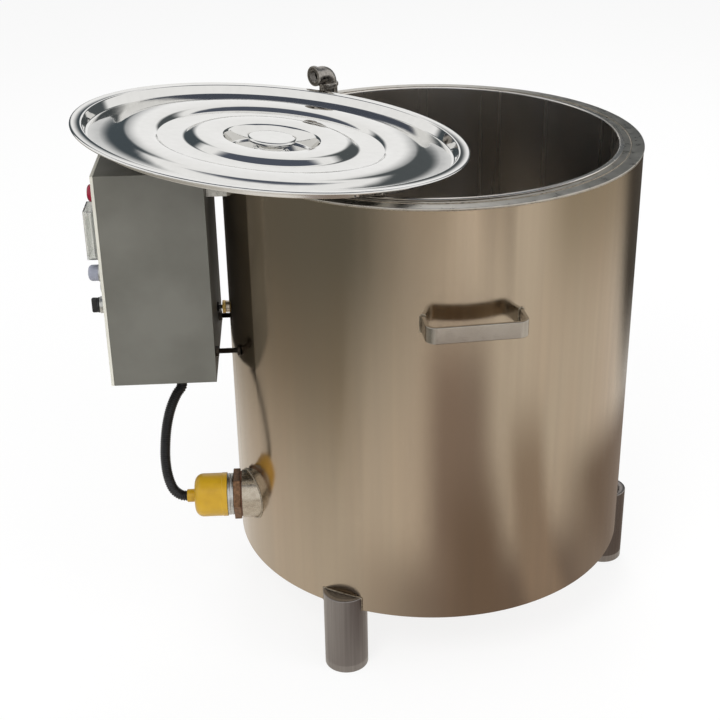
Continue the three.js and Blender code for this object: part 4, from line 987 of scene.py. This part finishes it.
def make_lamp():
    """The pilot lamp: a bezel, a hollow domed lens and the white reflector behind it."""
    place = door_device("pilot_lens")
    outline = [
        (0, -28), (9, -28), (9, -16), (PANEL_BARREL, -16), (PANEL_BARREL, 0.3), (PANEL_BEZEL, 0.3),
        (PANEL_BEZEL, 3.8), (PANEL_BEZEL - 0.4, 4.5), (13.3, 4.5), (13.3, 2.5), (0, 2.5),
    ]
    stand_for(turned("pilot_bezel", outline, place, 72, 0.25), ZINC_STEEL, "pilot_lamp_body")
    radius, crown, corner, wall, hollow_share = 12.9, 13.6, 6.4, 1.8, 0.82
    dome = quarter_round((radius - corner, crown - corner), corner)
    inside = [(across * hollow_share, height - wall) for across, height in dome]
    foot = (10.6, 2.8)
    outline = [foot, (radius, 2.8), *dome, (0, crown), (0, crown - wall), *reversed(inside), foot]
    stand_for(turned("pilot_lens_dome", outline, place, 72), RED_LENS, "pilot_lens")
    lamp = turned("pilot_reflector", [(0, 2.7), (7, 2.7), (7, 6), (3, 9), (0, 9.4)], place, 48, 0.3)
    detail(lamp, WHITE_PLASTIC, "pilot_lamp_body")


def make_button():
    """The push button: a collar and a domed cap on its stem."""
    place = door_device("push_button_cap")
    outline = [
        *SWITCH_BARREL, (PANEL_BEZEL, 2.2), (13.2, 3.4), (13.2, 8), (12.7, 9), (12.1, 9), (12.1, 0.6),
        (5.8, 0.6), (5.8, -8.9), (0, -8.9),
    ]
    stand_for(turned("button_collar", outline, place, 72, 0.25), ZINC_STEEL, "push_button_body")
    stem, radius, under, crown, corner = 5.4, 11.7, 6.1, 23.8, 6
    dome = quarter_round((radius - corner, crown - corner), corner)
    outline = [(0, -2.9), (stem, -2.9), (stem, under), (radius, under), *dome, (0, crown + 0.2)]
    stand_for(turned("button_cap", outline, place, 72, 0.2), GREY_PLASTIC, "push_button_cap")


def make_selector():
    """The selector: a collar, a round base with its grip, and a white pointer."""
    place = door_device("selector_knob")
    outline = [
        *SWITCH_BARREL, (PANEL_BEZEL, 4.6), (13.4, 6), (12.2, 6), (12.2, 11.6), (11.4, 12.3), (5.9, 12.3),
        (5.9, 5.7), (0, 5.7),
    ]
    stand_for(turned("selector_collar", outline, place, 72, 0.25), ZINC_STEEL, "selector_body")
    outline = [(0, 6.1), (5.4, 6.1), (5.4, 12.7), (10.6, 12.7), (11.3, 13.4), (10.9, 15.6), (0, 15.9)]
    base = turned("base", outline, place, 72, 0.25)
    grip = block("grip", (22, 7.6, 9.4), place @ shift(0, 0, 19.7), 2.4, 4)
    pointer = block("pointer", (7, 1.3, 0.5), place @ shift(6, 0, 24.2), 0.15)
    stand_for(merged("selector_grip", [base, grip]), BLACK_PLASTIC, "selector_knob")
    detail(pointer, WHITE_PLASTIC, "selector_knob")


# Bars of a seven-segment number, and each bar's side and rise as shares, and whether it lies level
SEGMENTS = {"0": "abcdef", "2": "abdeg", "5": "acdfg", "8": "abcdefg"}
SEGMENT_SHARES = {
    "a": (0, 1, True), "b": (0.5, 0.5, False), "c": (0.5, -0.5, False), "d": (0, -1, True),
    "e": (-0.5, -0.5, False), "f": (-0.5, 0.5, False), "g": (0, 0, True),
}
DIGIT_WIDTH_SHARE = 0.5
DIGIT_PITCH_SHARE = 0.82
BAR_LENGTH_SHARE = 0.78
BAR_WIDTH_SHARE = 0.1
BAR_THICKNESS = 0.2


def digits(name, text, place, tall, material):
    """Plain seven-segment numbers on a display, read with the box standing upright."""
    bars = []
    wide = tall * DIGIT_WIDTH_SHARE
    long, thin = wide * BAR_LENGTH_SHARE, tall * BAR_WIDTH_SHARE
    for index, character in enumerate(text):
        across = (index - (len(text) - 1) / 2) * tall * DIGIT_PITCH_SHARE
        for letter in SEGMENTS[character]:
            side, rise, level = SEGMENT_SHARES[letter]
            size = (thin, long, BAR_THICKNESS) if level else (long, thin, BAR_THICKNESS)
            at = place @ shift(rise * tall / 2, -(side * wide + across), 0)
            bars.append(block("bar", size, at, 0))
    detail(merged(name, bars), material, "controller_body")


def make_controller():
    """The controller: its body, a dark window with two rows of numbers, three keys and a clear cover."""
    key_low, key_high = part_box("controller_key_2")
    cover_low, cover_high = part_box("controller_cover")
    place = outward(DOOR_FACE, (key_low.y + key_high.y) / 2, (cover_low.z + cover_high.z) / 2)
    ease("controller_body", BEZEL_PLASTIC, 0.7)
    window = block("controller_window", (32, 30, 0.8), place @ shift(11, 0, 9.3), 0.3)
    detail(window, DARK_WINDOW, "controller_body")
    face = place @ shift(0, 0, 9.8)
    digits("upper_display", "025", face @ shift(18.5, 0, 0), 9, RED_DIGITS)
    digits("lower_display", "085", face @ shift(4, 0, 0), 7, GREEN_DIGITS)
    for index in (1, 2, 3):
        node = f"controller_key_{index}"
        ease(node, GREY_PLASTIC, 0.5, 3, 40)
    ease("controller_cover", CLEAR_PLASTIC, 0.6, 3)


# Switch gear

GEAR = (
    # node, width of its rounded edges in millimetres, material
    ("mounting_plate", 0.4, ZINC_STEEL),
    ("din_rail", 0.25, ZINC_STEEL),
    ("contactor", 1.2, BLACK_PLASTIC),
    ("breaker", 0.9, WHITE_PLASTIC),
    ("breaker_toggle", 0.6, BLACK_PLASTIC),
    ("terminal_block", 0.6, BLACK_PLASTIC),
)
SCREW_ROWS = (
    # node, screws in a row, height of each row as a share, depth of the screws from the front in millimetres
    ("contactor", 3, (0.12, 0.88), 12),
    ("breaker", 3, (0.1, 0.9), 12),
    ("terminal_block", 6, (0.5,), 8),
)
SCREW_HEAD = [(0, -0.2), (3.4, -0.2), (3.4, 0.9), (2.6, 1.6), (0, 1.6)]
SCREW_SLOT = (5, 0.9, 1.2)


def make_inside():
    for node, width, material in GEAR:
        ease(node, material, width)
    for node, count, rise_shares, depth in SCREW_ROWS:
        low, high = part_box(node)
        heads = []
        for rise in rise_shares:
            for index in range(count):
                y = low.y + (high.y - low.y) * (index + 0.5) / count
                z = low.z + (high.z - low.z) * rise
                heads.append(screw_head(outward(low.x + depth * MM, y, z)))
        detail(merged(f"{node}_screws", heads), ZINC_STEEL, node)


def screw_head(place):
    """The slotted head of a terminal screw."""
    head = turned("head", SCREW_HEAD, place, 24, 0.15)
    cut_away(head, block("slot", SCREW_SLOT, place @ shift(0, 0, 1.6), 0))
    return head


# Cable entries


def make_entries():
    """Two glands in the bottom of the box: a gripped nut outside, a body, and a thread inside."""
    nut, waist, body, thread = 12.6, 11.6, 12.9, 9.7
    for node, bore, passage in (("conduit_gland", 8.3, 6), ("mains_gland", 5, 5)):
        low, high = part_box(node)
        place = Matrix.Translation(((low.x + high.x) / 2, (low.y + high.y) / 2, low.z))
        top = (high.z - low.z) / MM
        outline = [
            (bore, 0), (nut - 2, 0), (nut - 0.4, 1.6), (nut, 7), (waist, 7.6), (waist, 9), (body, 9),
            (body, 15.9), (thread, 16), (thread, top), (passage, top), (passage, 16), (bore, 15.6), (bore, 0),
        ]
        gland = turned("body", outline, place, 64, 0.25)
        grips = ribs_round(place, count=12, size=(1, 2.2, 5), out=12.3, along=4.4)
        stand_for(merged(f"{node}_body", [gland, *grips]), BLACK_PLASTIC, node)


# Lid: the middle of its edge lies at an angle and a way out from the tank's axis, and leans back on the lip

LID_ANGLE = -78.5
LID_OFFSET = 228 * MM
LID_HEIGHT = 750.7 * MM
LID_TILT = 6.62
LID_RADIUS = 275.2
LID_SHEET = 1.4


def lid_place():
    """The plane of the lid's edge, leaning on the pot's lip."""
    centre = around(LID_ANGLE, LID_OFFSET).translation
    lean = Matrix.Rotation(-math.radians(LID_TILT), 4, "X")
    turn = Matrix.Rotation(math.radians(LID_ANGLE), 4, "Z") @ lean
    return Matrix.Translation((centre.x, centre.y, LID_HEIGHT)) @ turn


def make_lid():
    """The pressed lid: a curled edge, two raised rings, and a knob that stands in its recess."""
    place = lid_place()
    edge, ring, low, recess = LID_RADIUS, -7.8, -13.2, -29.2
    outline = [
        (edge - 3.6, -3.2), (edge - 1.6, -3.4), (edge - 0.2, -2.2), (edge, -0.6), (edge - 1.2, 1.0),
        (edge - 3.5, 0.9), (edge - 6, 0.2), (264, 0.1), (261, 1.0),
        (259, 0.4), (253.6, -12.2), (250, low), (236, low - 0.2), (219, low),
        (209.5, ring - 0.2), (200, ring + 1.4), (186, ring + 2.2), (172, ring + 1.4), (163, ring - 0.3),
        (157, low + 0.2), (148, low - 0.5), (136, low - 0.8), (124, low - 0.4), (118.5, low + 0.3),
        (111.5, ring - 0.1), (103, ring + 1.3), (90, ring + 1.9), (78, ring + 1.1), (68, ring - 0.3),
        (65.5, ring - 3), (61.5, recess + 2), (59, recess), (40, recess), (3.4, recess),
    ]
    shell = turned("lid_pressed_sheet", outline, Matrix.Identity(4), 256, 1.6, 3)
    flip_up(shell)
    apply_modifier(shell, "SOLIDIFY", thickness=LID_SHEET * MM, offset=-1)
    shell.data.transform(place)
    smooth(shell, 60)
    stand_for(shell, LID_STEEL, "lid_shell")

    foot, top = recess + 0.3, -7.5
    outline = [
        (0, foot), (26, foot), (26, foot + 2.4), (25, foot + 3.4), (22.4, foot + 4.6), (21, foot + 7),
        (21.6, foot + 10), (25.5, top - 7.4), (30.5, top - 6.8), (33.2, top - 5.4), (33.9, top - 3.2),
        (33.2, top - 1.2), (31.4, top - 0.1), (28.5, top), (12, top - 0.3), (0, top - 0.35),
    ]
    stand_for(turned("lid_knob_cap", outline, place, 128, 0.3), LID_STEEL, "lid_knob")
    ease("lid_knob_screw", ZINC_STEEL, 0.4)


def flip_up(piece):
    """Faces of the open sheet turned so that its middle looks up."""
    activate(piece)
    middle = min(piece.data.polygons, key=lambda face: face.center.xy.length)
    if middle.normal.z < 0:
        bpy.ops.object.mode_set(mode="EDIT")
        bpy.ops.mesh.select_all(action="SELECT")
        bpy.ops.mesh.flip_normals()
        bpy.ops.object.mode_set(mode="OBJECT")


def keep_nodes():
    """Hidden nodes that keep their own shape."""
    for node, material in (("jacket_floor", TANK_STEEL_BROWN_PAINTED_REFLECTION), ("heater_element", FITTING_STEEL)):
        frame["nodes"][node].material_slots[0].material = material


# Studio

FLOOR_SIZE = 14
WHITE = "#ffffff"
FLOOR_IN_METAL = "#e9e3da"
FLOOR_GLOW_SHARE = 0.82
SKY_FOR_MATT = 0.62
FIRST_LIFT = 11.4 * MM  # of the lowest patch of ground over the floor
LIFT_STEP = 0.2 * MM
LAMP_AIM = Vector((0, 0, 0.4))

# Painted reflections of the ground in the steel, from the lowest glowing patch up: where it starts and ends
# in degrees from the front towards +X, its near and far side in metres from the tank's axis, its colour and
# its even middle as a share
GROUND_PAINTED_REFLECTIONS = (
    ("ground_left", -178, -34, 0.4, 6.8, "#aea79b", 0.72),
    ("ground_far_left", -165, -56, 0.95, 6.8, "#988f80", 0.5),
    ("ground_far_corner", -166, 16, 0.65, 4.5, "#787974", 0.28),
    ("ground_far_front", -20, 10, 1.4, 6.8, "#c0b6a8", 0.3),
    # Painted shadow of the tank on the floor, as the steel mirrors it
    ("ground_painted_shadow_close", -55, 110, 0.1, 0.7, "#8f847f", 0.2),
    ("ground_front", -14, 31, 0.15, 1.75, "#a79b95", 0.3),
    # Painted shadow of the tank on the floor, as the steel mirrors it
    ("ground_painted_shadow_front", -6, 36, 0.1, 0.98, "#918379", 0.15),
    ("ground_middle", 28, 56, 0.1, 1.2, "#b8aba0", 0.3),
    ("ground_right", 47, 170, 0.1, 0.9, "#93867c", 0.35),
    ("ground_far_right", 44, 170, 1.2, 6.8, "#bcb5a8", 0.6),
    ("ground_line", 32, 36.5, 1.1, 6.8, "#a0968c", 0.4),
    ("ground_far_middle", 14, 40, 1.2, 6.8, "#b9b2aa", 0.35),
    ("ground_back", 110, 250, 0.5, 5.5, "#9a9289", 0.35),
    ("ground_far_edge", 104, 200, 0.4, 5.0, "#4f4b46", 0.55),
)
# Glowing sheets that paint dim sides of the room into the lid as reflections: middle from the tank's axis,
# half size, turn in degrees, colour and even middle as a share
ROOM_PAINTED_REFLECTIONS = (
    ("side_left", (-1.75, 2.9, 1.5), (1.35, 1.9), (90, 0, 25), "#4a5257", 0.6),
    ("side_right", (1.6, 2.9, 1.5), (1.35, 1.9), (90, 0, -25), "#53585a", 0.6),
    ("overhead", (-0.1, 0.1, 3.4), (2.8, 2.2), (0, 0, 0), "#555b68", 0.75),
)
# Lamps: place and size in metres, power in watts
LAMPS = (
    ("key", (-1.2, -2.4, 3.0), 1.6, 46),
    ("fill", (2.4, -1.6, 2.2), 1.8, 25),
    ("low", (1.1, -2.3, 0.55), 1.0, 12),
    ("side", (-2.8, -0.5, 1.3), 1.2, 4),
    ("back", (0.4, 2.6, 2.8), 1.8, 30),
)


def background_rays(owner):
    """Whether a ray is a mirrored one, and whether it is one that shows the plain background."""
    path = add(owner, "ShaderNodeLightPath")
    links = {0: path["Is Camera Ray"], 1: path["Is Transmission Ray"]}
    straight = add(owner, "ShaderNodeMath", {"operation": "MAXIMUM"}, links)[0]
    links = {0: straight, 1: path["Is Glossy Ray"]}
    return path["Is Glossy Ray"], add(owner, "ShaderNodeMath", {"operation": "MAXIMUM"}, links)[0]


def make_floor():
    deselect()
    bpy.ops.mesh.primitive_plane_add(size=FLOOR_SIZE)
    floor = bpy.context.object
    floor.name = "floor"
    material = blank("studio_floor")
    mirrored, seen = background_rays(material)
    settings = {"operation": "MULTIPLY", 1: FLOOR_GLOW_SHARE}
    share = add(material, "ShaderNodeMath", settings, {0: seen})[0]
    settings = {"data_type": "RGBA", 6: linear(WHITE), 7: linear(FLOOR_IN_METAL)}
    tone = add(material, "ShaderNodeMix", settings, {0: mirrored})[2]
    matt = add(material, "ShaderNodeBsdfDiffuse", {"Color": linear(WHITE)})
    glow = add(material, "ShaderNodeEmission", {"Strength": 1.0}, {"Color": tone})
    mix = add(material, "ShaderNodeMixShader", None, {0: share, 1: matt[0], 2: glow[0]})
    add(material, "ShaderNodeOutputMaterial", None, {"Surface": mix[0]})
    paint(floor, material)


def make_world():
    world = bpy.data.worlds.new("studio")
    bpy.context.scene.world = world
    world.use_nodes = True
    world.node_tree.nodes.clear()
    seen = background_rays(world)[1]
    strength = add(world, "ShaderNodeMapRange", {"To Min": SKY_FOR_MATT, "To Max": 1.0}, {"Value": seen})[0]
    sky = add(world, "ShaderNodeBackground", {"Color": linear(WHITE)}, {"Strength": strength})
    add(world, "ShaderNodeOutputWorld", None, {"Surface": sky[0]})


def painted_reflection_patch(name, patch, code, core):
    """Makes a plane a soft-edged glowing patch, a painted reflection that only shiny surfaces see."""
    patch.name = name
    patch.visible_camera = False
    patch.visible_diffuse = False
    patch.visible_transmission = False
    patch.visible_shadow = False
    material = blank(name)
    place = add(material, "ShaderNodeTexCoord")["UV"]
    settings = {"operation": "SUBTRACT", 1: (0.5, 0.5, 0)}
    middle = add(material, "ShaderNodeVectorMath", settings, {0: place})[0]
    out = add(material, "ShaderNodeVectorMath", {"operation": "ABSOLUTE"}, {0: middle})[0]
    sides = add(material, "ShaderNodeSeparateXYZ", None, {0: out})
    settings = {
        "interpolation_type": "SMOOTHSTEP", "From Min": core / 2, "From Max": 0.5,
        "To Min": 1.0, "To Max": 0.0,
    }
    across = add(material, "ShaderNodeMapRange", settings, {"Value": sides["X"]})[0]
    along = add(material, "ShaderNodeMapRange", settings, {"Value": sides["Y"]})[0]
    share = add(material, "ShaderNodeMath", {"operation": "MULTIPLY"}, {0: across, 1: along})[0]
    hole = add(material, "ShaderNodeBsdfTransparent")
    glow = add(material, "ShaderNodeEmission", {"Color": linear(code), "Strength": 1.0})
    mix = add(material, "ShaderNodeMixShader", None, {0: share, 1: hole[0], 2: glow[0]})
    add(material, "ShaderNodeOutputMaterial", None, {"Surface": mix[0]})
    paint(patch, material)


def make_ground_painted_reflections():
    """Painted reflections: glowing stretches round the tank, each a grid bent between two angles and two
    distances.
    """
    for level, (name, start, end, near, far, code, core) in enumerate(GROUND_PAINTED_REFLECTIONS):
        deselect()
        bpy.ops.mesh.primitive_grid_add(x_subdivisions=12, y_subdivisions=4, size=2)
        patch = bpy.context.object
        for vertex in patch.data.vertices:
            angle = math.radians(start + (end - start) * (vertex.co.x + 1) / 2)
            out = near + (far - near) * (vertex.co.y + 1) / 2
            lift = FIRST_LIFT + LIFT_STEP * level
            vertex.co = TANK + Vector((out * math.sin(angle), -out * math.cos(angle), lift))
        painted_reflection_patch(name, patch, code, core)


def make_room_painted_reflections():
    # Glowing sheets that only put painted reflections of the room into the lid
    for name, middle, half_size, turn, code, core in ROOM_PAINTED_REFLECTIONS:
        deselect()
        bpy.ops.mesh.primitive_plane_add(size=2)
        patch = bpy.context.object
        patch.scale = (*half_size, 1)
        patch.rotation_euler = [math.radians(degrees) for degrees in turn]
        patch.location = TANK + Vector(middle)
        painted_reflection_patch(name, patch, code, core)


def make_lamps():
    for name, place, size, power in LAMPS:
        data = bpy.data.lights.new(name, "AREA")
        data.shape = "DISK"
        data.size = size
        data.energy = power
        light = bpy.data.objects.new(name, data)
        bpy.context.scene.collection.objects.link(light)
        light.location = place
        light.visible_glossy = False
        light.rotation_euler = (LAMP_AIM - Vector(place)).to_track_quat("-Z", "Y").to_euler()


place_camera()
make_hose()
make_shell()
make_rim()
make_pot()
make_legs()
for handle, handle_angle in HANDLE_ANGLES.items():
    make_handle(handle, handle_angle)
make_heater()
make_filler()
make_probe()
make_carriers()
make_box()
make_inside()
make_entries()
make_lid()
keep_nodes()
make_floor()
make_world()
make_ground_painted_reflections()
make_room_painted_reflections()
make_lamps()
bpy.context.scene.view_settings.view_transform = "Standard"
